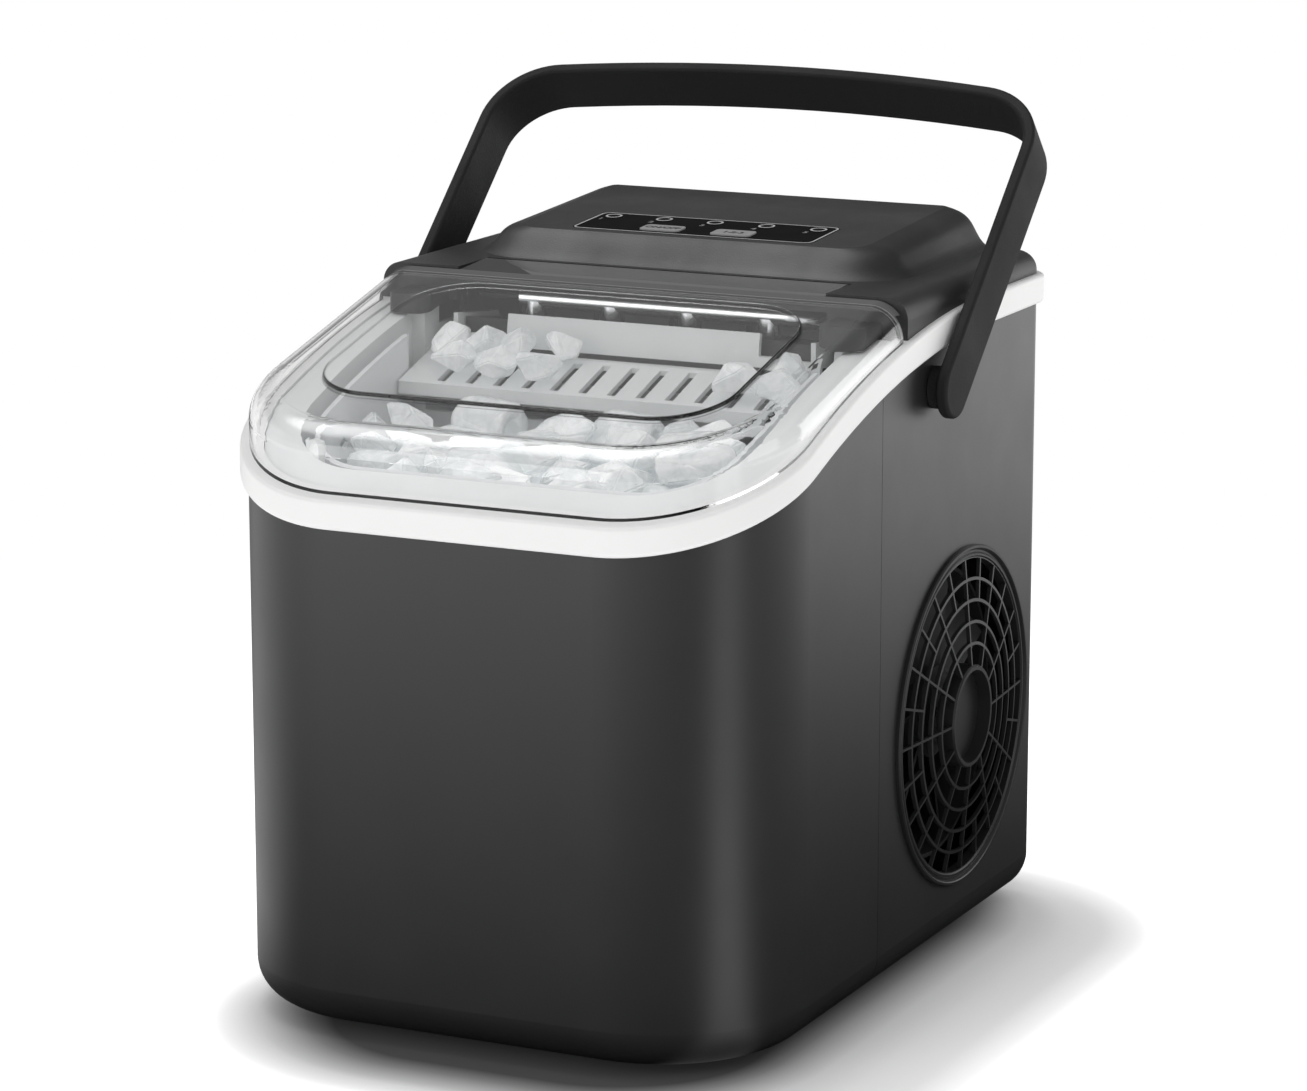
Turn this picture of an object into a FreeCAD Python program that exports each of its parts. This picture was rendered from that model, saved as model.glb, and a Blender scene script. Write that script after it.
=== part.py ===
"""Countertop ice maker with a clear lid, a swinging carry handle and a side fan grille.

Frame: millimetres, +Z up, -Y is the front, origin on the floor under the middle of the machine.
Each separate piece of the machine is one STEP file in parts/.
"""
import FreeCAD
import Part
import math
import os

V = FreeCAD.Vector
X_AXIS = V(1, 0, 0)
Y_AXIS = V(0, 1, 0)
Z_AXIS = V(0, 0, 1)

# ---------------------------------------------------------------- cabinet
body_width = 223.0
body_depth = 291.6
cover_top_z = 268.0
front_corner_r = 58.0
rear_corner_r = 10.0
bottom_edge_r = 15.0
shell_wall = 2.5
foot_height = 3.5
seam_gap = 0.3
fit_gap = 0.3
running_gap = 0.05
far = 500.0

half_w = body_width / 2
half_d = body_depth / 2
seam_y = half_d - 166.0
lip_wall = 1.5

# air openings in the rear shell
vent_count = 13
vent_w = 4.0
vent_half_depth = 54.0
vent_low_z = 48.0
louvre_count = 9
louvre_pitch = 9.0
louvre_h = 3.2
louvre_half_w = 62.0
louvre_low_z = 80.0

# shoulder line: the lower edge of the white band, seen from the side
band_slope_deg = 21.0
band_arc_r = 488.0
band_height = 11.5
band_proud = 3.0
band_edge_r = 1.6
band_flange = 2.2
band_flange_inset = 6.0
band_flat_y = half_d - 62.8
band_rear_z = cover_top_z - 20.5

# ---------------------------------------------------------------- top cover
cover_edge_r = 8.0
cover_wall = 2.5
shelf_wall = 1.9
ear_inset = 11.5
ear_drop = 10.5
ear_reach = 19.0
hump_flank = 20.0
hump_front_run = 13.4
hump_rear_share = 0.45
hump_corner_r = 12.0
hump_rear_corner_r = 3.0
hump_edge_r = 1.6
hump_slope_deg = 3.6
hump_rise = 10.8
cover_front_y = half_d - 142.8
hump_half_w = half_w - 37.0
hump_front_y = half_d - 102.3
hump_rear_y = half_d - 11.8
hump_front_z = cover_top_z + hump_rise

# ---------------------------------------------------------------- control panel
label_half_w = 52.0
label_depth = 32.0
label_corner_r = 4.0
label_thickness = 0.5
led_count = 5
led_pitch = 22.3
led_r = 3.3
button_x = 15.3
button_w = 17.0
button_d = 9.5
button_corner_r = 2.0
button_travel = 0.6
button_gap = 0.35
board_wall = 1.6
board_drop = 9.0
boss_bore_r = 1.3
label_front_y = hump_front_y + 4.5
button_y = label_front_y + 8.5
led_y = label_front_y + 24.8

# ---------------------------------------------------------------- lid
lid_wall = 2.3
lid_slope_deg = 14.1
lid_edge_r = 13.0
lid_front_inset = 1.0
lid_rear_lip = 5.0
window_corner_r = 27.0
window_rise = 1.3
window_edge_r = 0.7
hinge_barrel_r = 3.3
hinge_pin_r = 1.5
hinge_y = half_d - 121.3
hinge_z = cover_top_z - 3.0
tab_half_w = half_w - 34.0
lid_rear_y = cover_front_y - 1.0
lid_rear_z = cover_top_z - 0.96
window_half_w = half_w - 28.0
window_front_y = -half_d + 31.3
window_rear_y = lid_rear_y - 13.0

# ---------------------------------------------------------------- handle
handle_gap = 4.9
handle_thickness = 4.8
handle_width = 23.0
handle_reach = 146.0
handle_crown = 5.0
handle_corner_r = 30.0
handle_edge_r = 1.4
handle_lean_deg = 47.2
pivot_hub_r = 8.2
pivot_pin_r = 5.0
bushing_wall = 3.0
bushing_length = 6.0
pivot_y = half_d - 115.8
pivot_z = cover_top_z - 37.5
handle_inner_x = half_w + handle_gap
handle_half_w = handle_inner_x + handle_thickness

# ---------------------------------------------------------------- fan grille and fan
grille_y = half_d - 83.0
grille_z = 0.3526 * cover_top_z
grille_slot_r = 0.2332 * cover_top_z
grille_rim_w = 5.0
grille_rim_proud = 2.0
grille_dome = 3.6
grille_plate = 1.5
grille_hub_r = 20.3
grille_hub_wall = 2.0
grille_hub_depth = 4.7
grille_ring_w = 1.2
grille_spoke_w = 1.0
grille_rows = 5
grille_fine_rows = 2
grille_spokes = 12
grille_rim_r = grille_slot_r + grille_rim_w
fan_r = grille_slot_r - 7.5
fan_hub_r = 18.0
fan_blades = 7
fan_depth = 16.0
fan_blade_wall = 1.6
fan_pitch_deg = 32.0
fan_rear_x = half_w - 27.5
motor_r = 19.0
motor_length = 24.0
motor_shaft_r = 2.5
motor_gap = 2.0
shroud_wall = 1.6
shroud_clearance = 1.5
shroud_half = fan_r + 9.0

# ---------------------------------------------------------------- ice making mechanism
finger_r = 4.5
finger_length = 23.5
evaporator_tube_r = 4.0
frame_wall = 2.4
frame_inset = 32.9
tray_side_gap = 4.6
tray_wall = 1.5
tray_depth = 55.0
tray_height = 24.5
tray_pin_r = 3.0
shovel_r = 29.0
shovel_wall = 2.2
shovel_height = 12.2
shovel_half_w = 53.5
shovel_bar_h = 4.0
shovel_arm_wall = 2.0
shovel_rise = 3.1
frame_inner_x = half_w - frame_inset
tray_half_w = frame_inner_x - tray_side_gap
finger_pitch = tray_half_w * 0.446
tray_front_y = cover_front_y - 1.0
tray_rear_y = tray_front_y + tray_depth
tray_axis_y = tray_rear_y + 3.0
front_row_y = tray_front_y + 13.0
rear_row_y = tray_rear_y - 16.0
frame_top_z = cover_top_z - 9.0
evaporator_z = frame_top_z - 5.5
tray_top_z = evaporator_z - 7.0
tray_floor_z = tray_top_z - tray_height
tray_axis_z = tray_top_z - 11.0
shovel_axis_y = tray_front_y + 26.0
shovel_axis_z = tray_top_z - 6.5
shovel_blade_y = tray_front_y - 5.0

# ---------------------------------------------------------------- water tank, basket, chute
tank_inset = 18.0
tank_wall = 2.0
tank_floor_z = 52.0
rim_wall = 2.0
chamber_half_w = frame_inner_x + 9.4
chamber_floor_z = tray_axis_z - 63.5
chamber_rear_y = tray_axis_y + 16.0
tank_rear_y = cover_front_y - 11.0
basket_inset = 25.0
basket_wall = 2.0
basket_floor_z = 118.0
basket_below_rim = 4.0
basket_rear_drop = 33.0
basket_rear_y = tank_rear_y - 6.0
diamond_half = 3.6
diamond_pitch = 13.0
diamond_rows_low = 16.0
ledge_height = 8.0
ledge_depth = 12.0
chute_wall = 2.0
chute_run = 27.0
chute_fall = 8.5
chute_slots = 12
chute_slot_w = 3.6
chute_top_y = tank_rear_y - 1.0
chute_top_z = tray_top_z - 11.7
chute_low_y = chute_top_y - chute_run
chute_low_z = chute_top_z - chute_fall
sensor_rise = 2.8

# ---------------------------------------------------------------- base, feet and drain
base_wall = 2.5
base_opening_inset = 24.0
base_seat_inset = 15.3
base_rear_corner_r = 8.0
rib_height = 5.0
rib_wall = 2.4
foot_r = 9.0
foot_stem_r = 3.0
screw_r = 1.7
screw_head_r = 3.4
screw_head_h = 1.8
neck_r = 7.2
neck_bore_r = 5.4
plug_r = 11.0
drain_y = tank_rear_y - 54.0
base_z = foot_height + shell_wall
pan_top_z = base_z + base_wall

# ---------------------------------------------------------------- refrigeration
compressor_r = 44.0
compressor_height = 98.0
compressor_plate = 3.0
mount_reach = 38.0
mount_post_r = 7.0
mount_post_height = 4.0
grommet_h = 7.0
bolt_r = 2.0
condenser_thickness = 20.0
condenser_fins = 11
condenser_tube_r = 3.2
condenser_rows = 4
condenser_half_depth = 45.0
pipe_r = 3.2
pipe_bend = 7.0
capillary_r = 1.2
suction_r = 3.0
suction_bend = 5.0
hot_gas_r = 2.0
drier_r = 7.0
drier_length = 55.0
valve_length = 34.0
compressor_x = -half_w + 69.5
compressor_y = grille_y + 3.2
condenser_x = half_w - 59.5
condenser_top_z = grille_z + fan_r - 5.0
drier_y = half_d - 10.8
drier_z = cover_top_z - 108.0
rear_run_y = half_d - 23.8
valve_z = drier_z + 5.0
suction_y = chamber_rear_y + 8.0
capillary_x = -frame_inner_x + 2.1

# ---------------------------------------------------------------- pump, boards and inlet
pump_r = 12.0
pump_x = 10.0
water_tube_r = 3.0
board_w = 70.0
board_h = 72.0
standoff = 6.0
inlet_r = 7.5
inlet_bore_r = 3.2
inlet_x = -half_w + 41.5
inlet_z = 38.0
pump_y = tank_rear_y + pump_r + 1.5
power_board_x = -half_w + 15.5
power_board_z = cover_top_z - 102.0

# ---------------------------------------------------------------- derived values
slope = math.radians(band_slope_deg)
lid_tan = math.tan(math.radians(lid_slope_deg))
hump_tan = math.tan(math.radians(hump_slope_deg))
rim_top_dz = band_height - 1.0
front_run_half = 1.5 * finger_pitch + 6
rear_run_half = 2 * finger_pitch - 1


# ================================================================ helpers
def box(x0, x1, y0, y1, z0, z1):
    return Part.makeBox(x1 - x0, y1 - y0, z1 - z0, V(x0, y0, z0))


def slab_y(y0, y1):
    """Everything between two depths."""
    return box(-far, far, y0, y1, -far, far)


def mirrored(shape):
    return shape.mirror(V(0, 0, 0), X_AXIS)


def both_sides(shape):
    return Part.makeCompound([shape, mirrored(shape)])


def fuse_all(shapes):
    first = shapes[0]
    if len(shapes) == 1:
        return first
    return first.multiFuse(shapes[1:]).removeSplitter()


def rounded_wire(x0, x1, y0, y1, radii, z):
    """Rounded rectangle; radii are for the corners front-left, front-right, rear-right, rear-left."""
    corners = [(x0, y0, 1, 1), (x1, y0, -1, 1), (x1, y1, -1, -1), (x0, y1, 1, -1)]
    angles = [225, 315, 45, 135]
    edges = []
    points = []
    for (cx, cy, sx, sy), r, a in zip(corners, radii, angles):
        mx, my = cx + sx * r, cy + sy * r
        arc = [V(mx + r * math.cos(math.radians(t)), my + r * math.sin(math.radians(t)), z)
               for t in (a - 45, a, a + 45)]
        points.append(arc)
    for i, arc in enumerate(points):
        edges.append(Part.Arc(*arc).toShape())
        following = points[(i + 1) % 4][0]
        if arc[2].distanceToPoint(following) > 1e-6:
            edges.append(Part.LineSegment(arc[2], following).toShape())
    return Part.Wire(edges)


def body_wire(offset, z, front_extra=0.0, rear_r=1.0):
    """Plan outline of the cabinet, moved outwards by offset; rear corners keep at least rear_r."""
    rf = front_corner_r + offset
    rr = max(rear_corner_r + offset, rear_r)
    return rounded_wire(-half_w - offset, half_w + offset, -half_d - offset + front_extra,
                        half_d + offset, [rf, rf, rr, rr], z)


def body_prism(offset, z0, z1, front_extra=0.0, rear_r=1.0):
    return Part.Face(body_wire(offset, z0, front_extra, rear_r)).extrude(V(0, 0, z1 - z0))


def plate(points, x0, x1):
    """Flat piece: a polygon in the YZ plane, extruded along X."""
    wire = Part.makePolygon([V(x0, y, z) for y, z in points + points[:1]])
    return Part.Face(wire).extrude(V(x1 - x0, 0, 0))


def below_shoulder(dz):
    """Everything below the side shoulder line, lifted by dz."""
    reach = body_depth
    width = body_width
    y_tan = band_flat_y - band_arc_r * math.sin(slope)
    z_tan = band_rear_z + dz - band_arc_r * (1 - math.cos(slope))
    y_mid = band_flat_y - band_arc_r * math.sin(slope / 2)
    z_mid = band_rear_z + dz - band_arc_r * (1 - math.cos(slope / 2))
    front = V(-width, -reach, z_tan - (y_tan + reach) * math.tan(slope))
    tangent = V(-width, y_tan, z_tan)
    flat = V(-width, band_flat_y, band_rear_z + dz)
    rear = V(-width, reach, band_rear_z + dz)
    edges = [Part.LineSegment(front, tangent).toShape(),
             Part.Arc(tangent, V(-width, y_mid, z_mid), flat).toShape(),
             Part.LineSegment(flat, rear).toShape(),
             Part.LineSegment(rear, V(-width, reach, -reach)).toShape(),
             Part.LineSegment(V(-width, reach, -reach), V(-width, -reach, -reach)).toShape(),
             Part.LineSegment(V(-width, -reach, -reach), front).toShape()]
    return Part.Face(Part.Wire(edges)).extrude(V(2 * width, 0, 0))


def shoulder_z(y, dz=0.0):
    """Height of the shoulder line at depth y."""
    y_tan = band_flat_y - band_arc_r * math.sin(slope)
    if y >= band_flat_y:
        return band_rear_z + dz
    if y >= y_tan:
        return band_rear_z + dz - band_arc_r + math.sqrt(band_arc_r ** 2 - (y - band_flat_y) ** 2)
    return shoulder_z(y_tan, dz) - (y_tan - y) * math.tan(slope)


def lid_z(y):
    """Height of the lid's sloping top face at depth y."""
    return lid_rear_z + (y - lid_rear_y) * lid_tan


def hump_z(y):
    """Height of the control hump's top face at depth y."""
    return hump_front_z + (y - hump_front_y) * hump_tan


def on_hump(shape):
    """Lays a piece modelled about the origin, top at z = 0, on the hump's top face."""
    shape.rotate(V(0, 0, 0), X_AXIS, hump_slope_deg)
    shape.translate(V(0, hump_front_y, hump_front_z))
    return shape


def x_cylinder(r, x0, x1, y, z):
    return Part.makeCylinder(r, x1 - x0, V(x0, y, z), X_AXIS)


def x_ring(r_out, r_in, x0, x1, y, z):
    return x_cylinder(r_out, x0, x1, y, z).cut(x_cylinder(r_in, x0 - 1, x1 + 1, y, z))


def revolved(profile, centre, axis, about=V(0, 0, 0)):
    """Closed profile of points, turned a full circle."""
    face = Part.Face(Part.makePolygon(profile + profile[:1]))
    shape = face.revolve(about, axis, 360)
    shape.translate(centre)
    return shape


def pipe(points, r, bend):
    """Round tube along straight runs joined by tangent arcs."""
    edges = []
    start = V(*points[0])
    for i in range(1, len(points) - 1):
        before, corner, after = V(*points[i - 1]), V(*points[i]), V(*points[i + 1])
        u = (before - corner).normalize()
        w = (after - corner).normalize()
        half = math.acos(max(-1, min(1, u.dot(w)))) / 2
        setback = bend / math.tan(half)
        a = corner + u * setback
        b = corner + w * setback
        middle = (u + w).normalize()
        centre = corner + middle * (bend / math.sin(half))
        edges.append(Part.LineSegment(start, a).toShape())
        edges.append(Part.Arc(a, centre - middle * bend, b).toShape())
        start = b
    edges.append(Part.LineSegment(start, V(*points[-1])).toShape())
    path = Part.Wire(edges)
    direction = (V(*points[1]) - V(*points[0])).normalize()
    profile = Part.Wire(Part.makeCircle(r, V(*points[0]), direction))
    return path.makePipeShell([profile], True, False)


def filleted(shape, radius, chosen):
    edges = [e for e in shape.Edges if chosen(e)]
    return shape.makeFillet(radius, edges)


def near(a, b, tolerance=0.01):
    return abs(a - b) < tolerance


# ================================================================ cabinet shells
def rounded_body(offset):
    """The cabinet's full outer form, with rounded bottom edges, offset inwards when negative."""
    bottom = foot_height - offset
    solid = body_prism(offset, bottom, cover_top_z + 60)
    r = bottom_edge_r + offset
    return filleted(solid, r, lambda e: e.BoundBox.ZMax < bottom + 0.01)


def cabinet_shell():
    shell = rounded_body(0).cut(rounded_body(-shell_wall))
    shell = shell.common(below_shoulder(band_height - band_flange - fit_gap))
    opening = body_prism(-base_opening_inset, -1, base_z + 1, rear_r=base_rear_corner_r)
    shell = shell.cut(opening)
    for x, y in base_screw_places():
        shell = shell.cut(Part.makeCylinder(screw_r + 0.1, base_z + 1, V(x, y, 0)))
    return shell


def front_shell(shell):
    part = shell.common(slab_y(-far, seam_y - seam_gap / 2))
    return part.fuse(shell_lip()).removeSplitter()


def shell_lip():
    """Inner tongue that bridges the seam behind the two shells."""
    band = body_prism(-shell_wall, bottom_edge_r + 8, far).cut(body_prism(-shell_wall - lip_wall, 0, far))
    band = band.common(slab_y(seam_y - 6, seam_y + 5))
    return band.common(below_shoulder(-4))


def side_vents():
    """Row of upright slots through the left wall, opposite the fan."""
    pitch = 2 * vent_half_depth / (vent_count - 1)
    slots = []
    for i in range(vent_count):
        y = grille_y - vent_half_depth + i * pitch
        slot = box(-half_w - 5, -half_w + 6, y - vent_w / 2, y + vent_w / 2, vent_low_z, condenser_top_z)
        slots.append(filleted(slot, vent_w / 2 - 0.05, lambda e: near(e.BoundBox.XLength, 11)))
    return Part.makeCompound(slots)


def rear_louvres():
    slots = []
    for i in range(louvre_count):
        z = louvre_low_z + i * louvre_pitch
        slots.append(box(-louvre_half_w, louvre_half_w, half_d - 6, half_d + 6, z, z + louvre_h))
    return Part.makeCompound(slots)


def rear_shell(shell):
    part = shell.common(slab_y(seam_y + seam_gap / 2, far))
    part = part.cut(x_cylinder(grille_slot_r + 1.8, half_w - 10, half_w + 10, grille_y, grille_z))
    inlet = Part.makeCylinder(inlet_r, 20, V(inlet_x, half_d - 10, inlet_z), Y_AXIS)
    return part.cut(side_vents()).cut(rear_louvres()).cut(inlet)


def cut_pivot_holes(shell):
    for side in (-1, 1):
        x0 = side * half_w - 8
        shell = shell.cut(x_cylinder(pivot_pin_r + 0.4, x0, x0 + 16, pivot_y, pivot_z))
    return shell


def foot_places():
    reach = base_opening_inset + foot_r
    front_x, front_y = half_w - reach - 12, -half_d + reach + 8
    rear_x, rear_y = half_w - reach - 2, half_d - reach - 2
    return [(front_x, front_y), (-front_x, front_y), (rear_x, rear_y), (-rear_x, rear_y)]


def base_pan():
    pan = body_prism(-base_seat_inset, base_z, pan_top_z, rear_r=base_rear_corner_r)
    pan = pan.fuse(body_prism(-base_opening_inset - fit_gap, foot_height, base_z + 0.1,
                              rear_r=base_rear_corner_r))
    z0, z1 = pan_top_z - 0.1, pan_top_z + rib_height
    half_rib = rib_wall / 2
    rib_x = half_w - base_opening_inset - 8
    front_y, rear_y = -half_d + 46, tank_rear_y - 16
    ribs = [box(-rib_x, rib_x, y - half_rib, y + half_rib, z0, z1) for y in (front_y, rear_y)]
    ribs += [box(x - half_rib, x + half_rib, front_y, rear_y, z0, z1) for x in (-half_w / 2, half_w / 2)]
    posts = [Part.makeCylinder(mount_post_r, mount_post_height + 0.1, V(x, y, z0))
             for x, y in compressor_mounts()]
    pan = fuse_all([pan] + ribs + posts)
    for x, y in compressor_mounts():
        pan = pan.cut(Part.makeCylinder(bolt_r, mount_post_height + 1, V(x, y, pan_top_z)))
    for x, y in foot_places():
        pan = pan.cut(Part.makeCylinder(foot_stem_r, 12, V(x, y, 0)))
    for x, y in base_screw_places():
        pan = pan.cut(Part.makeCylinder(screw_r, 12, V(x, y, 0)))
    pan = pan.cut(Part.makeCylinder(neck_r + fit_gap, 20, V(0, drain_y, -1)))
    return pan.cut(Part.makeCylinder(plug_r + 3, foot_height + 2.0, V(0, drain_y, 0)))


def feet():
    shapes = []
    for x, y in foot_places():
        profile = [V(0, 0, 0), V(foot_r - 1.2, 0, 0), V(foot_r, 0, 1.2), V(foot_r, 0, foot_height),
                   V(foot_stem_r, 0, foot_height), V(foot_stem_r, 0, pan_top_z), V(0, 0, pan_top_z)]
        shapes.append(revolved(profile, V(x, y, 0), Z_AXIS))
    return Part.makeCompound(shapes)


def base_screw_places():
    inset = (base_seat_inset + base_opening_inset) / 2
    x = half_w - inset
    y = half_d - inset
    return [(x, pivot_y), (-x, pivot_y), (x, drain_y), (-x, drain_y), (inlet_r * 4, y), (-inlet_r * 4, y)]


def base_screws():
    """Screws driven from below, through the shells' inner flange into the base pan."""
    shapes = []
    for x, y in base_screw_places():
        head = Part.makeCylinder(screw_head_r, screw_head_h, V(x, y, foot_height - screw_head_h))
        shapes.append(head.fuse(Part.makeCylinder(screw_r, shell_wall + base_wall, V(x, y, foot_height))))
    return Part.makeCompound(shapes)


# ================================================================ white band
def trim_band():
    top = below_shoulder(band_height)
    ring = body_prism(band_proud, 0, far).cut(body_prism(fit_gap, -1, far + 1))
    ring = ring.common(top).cut(below_shoulder(0))
    flange = body_prism(fit_gap + 0.5, 0, far).cut(body_prism(-band_flange_inset, -1, far + 1))
    flange = flange.common(top).cut(below_shoulder(band_height - band_flange))
    band = ring.fuse(flange).removeSplitter()
    return band.makeFillet(band_edge_r, [e for e in band.Edges if on_outline(e, band_proud)])


def on_outline(edge, offset):
    """True for an edge that lies on the cabinet outline moved out by offset."""
    wire = body_wire(offset, 0)
    for t in (0.1, 0.5, 0.9):
        u = edge.FirstParameter + t * (edge.LastParameter - edge.FirstParameter)
        p = edge.valueAt(u)
        if wire.distToShape(Part.Vertex(p.x, p.y, 0))[0] > 0.02:
            return False
    return True


# ================================================================ top cover and panel
def cover_slab():
    """Flush black cover, from the band up to its flat shoulder, with a rounded rear edge."""
    slab = body_prism(0, cover_top_z - 60, cover_top_z)
    slab = filleted(slab, cover_edge_r, lambda e: e.BoundBox.ZMin > cover_top_z - 0.01)
    return slab.common(slab_y(cover_front_y, far))


def hump_section(down, side, front, inset):
    """Outline of the hump a share down from its tilted top, wider by side and longer by front."""
    r_front = hump_corner_r + 0.5 * (side + front) - inset
    r_rear = hump_rear_corner_r + 0.5 * side
    wire = rounded_wire(-hump_half_w - side + inset, hump_half_w + side - inset, -front + inset,
                        hump_rear_y - hump_front_y + side * hump_rear_share - inset,
                        [r_front, r_front, r_rear, r_rear], 0)
    wire.rotate(V(0, 0, 0), X_AXIS, hump_slope_deg * (1 - down))
    low = cover_top_z - 1.0
    wire.translate(V(0, hump_front_y, low + (hump_front_z - low) * (1 - down) - inset))
    return wire


def hump(inset):
    """Raised control housing, or its hollow: S-curved flanks and a crisp, steeper front slope."""
    steps = [(0.0, 0.0, 0.0), (0.14, 0.34, 0.13), (0.45, 0.6, 0.42), (0.75, 0.76, 0.68), (0.9, 0.9, 0.85),
             (1.0, 1.03, 1.03)]
    sections = [hump_section(down, hump_flank * side, hump_front_run * front, inset)
                for down, side, front in steps]
    return Part.makeLoft(sections, True, False)


def top_cover():
    body = cover_slab().fuse(hump(0)).removeSplitter()
    body = filleted(body, hump_edge_r, lambda e: e.BoundBox.ZMin > hump_front_z - 0.5)
    inner = body_prism(-cover_wall - 0.5, 0, cover_top_z - cover_wall)
    inner = inner.common(slab_y(cover_front_y + cover_wall, far)).fuse(hump(cover_wall))
    body = body.cut(inner).cut(below_shoulder(band_height))
    ear = cover_ear()
    return cut_hinge_recess(body.multiFuse([ear, mirrored(ear)]))


def cover_ear():
    """Rounded tongue that reaches forward under the lid's rear corner."""
    x0, x1 = frame_inner_x + frame_wall + 1.0, half_w - ear_inset
    y0, z1 = cover_front_y - ear_reach, cover_top_z - ear_drop
    ear = box(x0, x1, y0, cover_front_y + 3, z1 - 30, z1)
    ear = filleted(ear, 5.0, lambda e: near(e.BoundBox.ZLength, 30) and e.BoundBox.YMax < y0 + 0.1)
    return ear.cut(below_shoulder(band_height + 0.2))


def cut_hinge_recess(body):
    """Sunken floor for the lid's hinge tab over the ice mouth, with cheeks that carry its pins."""
    side = tab_half_w + 0.6
    rear_y = hinge_y + hinge_barrel_r + 0.8
    floor_z = hinge_z - hinge_barrel_r - 0.5
    rear_end = rear_y + cover_wall
    front = cover_front_y + 1
    body = body.cut(box(-side, side, cover_front_y - 25, rear_y, floor_z, far))
    shelf = box(-side, side, front, rear_end, floor_z - shelf_wall, floor_z)
    wall = box(-side, side, rear_y, rear_end, floor_z - shelf_wall, cover_top_z - 1.0)
    mouth = box(-frame_inner_x, frame_inner_x, cover_front_y - 1, front + cover_wall, 0, floor_z - shelf_wall)
    cheek = box(side, side + 3.0, cover_front_y, rear_end, frame_top_z, cover_top_z - 1.0)
    body = body.cut(mouth).multiFuse([shelf, wall, cheek, mirrored(cheek)]).removeSplitter()
    reach = side + 2.6
    return body.cut(x_cylinder(hinge_pin_r + running_gap, -reach, reach, hinge_y, hinge_z))


def cut_panel_openings(cover):
    """Pocket for the label, holes for the lamps and the two button stems."""
    pocket = on_hump(label_solid(0.15, label_thickness, 0))
    cover = cover.cut(pocket)
    for shape in led_solids(led_r + 0.1, 12) + button_solids(button_gap, 12, 0):
        cover = cover.cut(on_hump(shape))
    for x, y in cover_boss_places():
        cover = cover.fuse(boss(x, y))
    return cover


def cover_boss_places():
    front_y, rear_y = hump_front_y + 16.5, hump_rear_y - 12
    return [(60, front_y), (-60, front_y), (60, rear_y), (-60, rear_y)]


def boss(x, y):
    """Screw post under the hump that carries the circuit board."""
    z1 = hump_z(y) - cover_wall + 0.4
    z0 = board_top()
    post = Part.makeCylinder(3.5, z1 - z0, V(x, y, z0))
    return post.cut(Part.makeCylinder(boss_bore_r, 6, V(x, y, z0 - 0.1)))


def board_top():
    """Height of the circuit board's upper face, which lies level under the tilted hump."""
    return hump_z(button_y) - cover_wall - board_drop - 0.4


def label_solid(grow, depth, rise):
    y0 = label_front_y - hump_front_y
    wire = rounded_wire(-label_half_w - grow, label_half_w + grow, y0 - grow,
                        y0 + label_depth + grow, [label_corner_r + grow] * 4, -depth)
    return Part.Face(wire).extrude(V(0, 0, depth + rise))


def led_solids(r, depth):
    first = -(led_count - 1) / 2 * led_pitch
    return [Part.makeCylinder(r, depth + 1, V(first + i * led_pitch, led_y - hump_front_y, -depth))
            for i in range(led_count)]


def button_solids(grow, depth, rise):
    shapes = []
    y = button_y - hump_front_y
    for x in (-button_x, button_x):
        wire = rounded_wire(x - button_w / 2 - grow, x + button_w / 2 + grow, y - button_d / 2 - grow,
                            y + button_d / 2 + grow, [2.0 + grow] * 4, -depth)
        shapes.append(Part.Face(wire).extrude(V(0, 0, depth + (rise if rise else 1))))
    return shapes


def panel_label():
    label = label_solid(0, label_thickness, 0.05)
    for shape in led_solids(led_r + 0.1, 3) + button_solids(button_gap, 3, 0):
        label = label.cut(shape)
    return on_hump(label)


def led_lenses():
    lenses = []
    for shape in led_solids(led_r, 4):
        shape = shape.common(box(-far, far, -far, far, -4, 0.25))
        lenses.append(on_hump(shape))
    return Part.makeCompound(lenses)


def button(index):
    """Push button: a cap that stands just proud of the label, on a cross-shaped stem."""
    cap = button_solids(0, 2.0, 0.5)[index]
    x = (-button_x, button_x)[index]
    y = button_y - hump_front_y
    depth = board_drop - 1.6
    stem = box(x - 3, x + 3, y - 0.8, y + 0.8, -depth, -1.9)
    stem = stem.fuse(box(x - 0.8, x + 0.8, y - 3, y + 3, -depth, -1.9))
    return on_hump(cap.fuse(stem).removeSplitter())


def control_board():
    z = board_top()
    under = z - board_wall
    front_y, rear_y = hump_front_y + 3.5, hump_rear_y - 6
    board = box(-66, 66, front_y, rear_y, under, z)
    parts = []
    for x in (-button_x, button_x):
        parts.append(box(x - 3, x + 3, button_y - 3, button_y + 3, z - 0.05, z + switch_height()))
    for x, y, w, d, h in ((-3, rear_y - 29, 34, 18, 4), (43, rear_y - 23, 18, 18, 6),
                          (-41, rear_y - 23, 18, 18, 6)):
        parts.append(box(x - w / 2, x + w / 2, y - d / 2, y + d / 2, under - h, under + 0.05))
    for i in range(led_count):
        x = (i - (led_count - 1) / 2) * led_pitch
        parts.append(box(x - 1.6, x + 1.6, led_y - 1.2, led_y + 1.2, z - 0.05, z + 1.2))
    board = fuse_all([board] + parts)
    for x, y in cover_boss_places():
        board = board.cut(Part.makeCylinder(1.5, 10, V(x, y, z - 5)))
    return board


def switch_height():
    """Tactile switches reach up to just under the button stems, one travel away."""
    stem_end = hump_z(button_y) - (board_drop - 1.6) - 0.3
    return stem_end - board_top() - button_travel - 0.1


def board_screws():
    z = board_top() - board_wall
    shapes = []
    for x, y in cover_boss_places():
        head = Part.makeCylinder(2.8, 1.6, V(x, y, z - 1.6))
        shapes.append(head.fuse(Part.makeCylinder(boss_bore_r, 6, V(x, y, z))))
    return Part.makeCompound(shapes)


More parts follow.
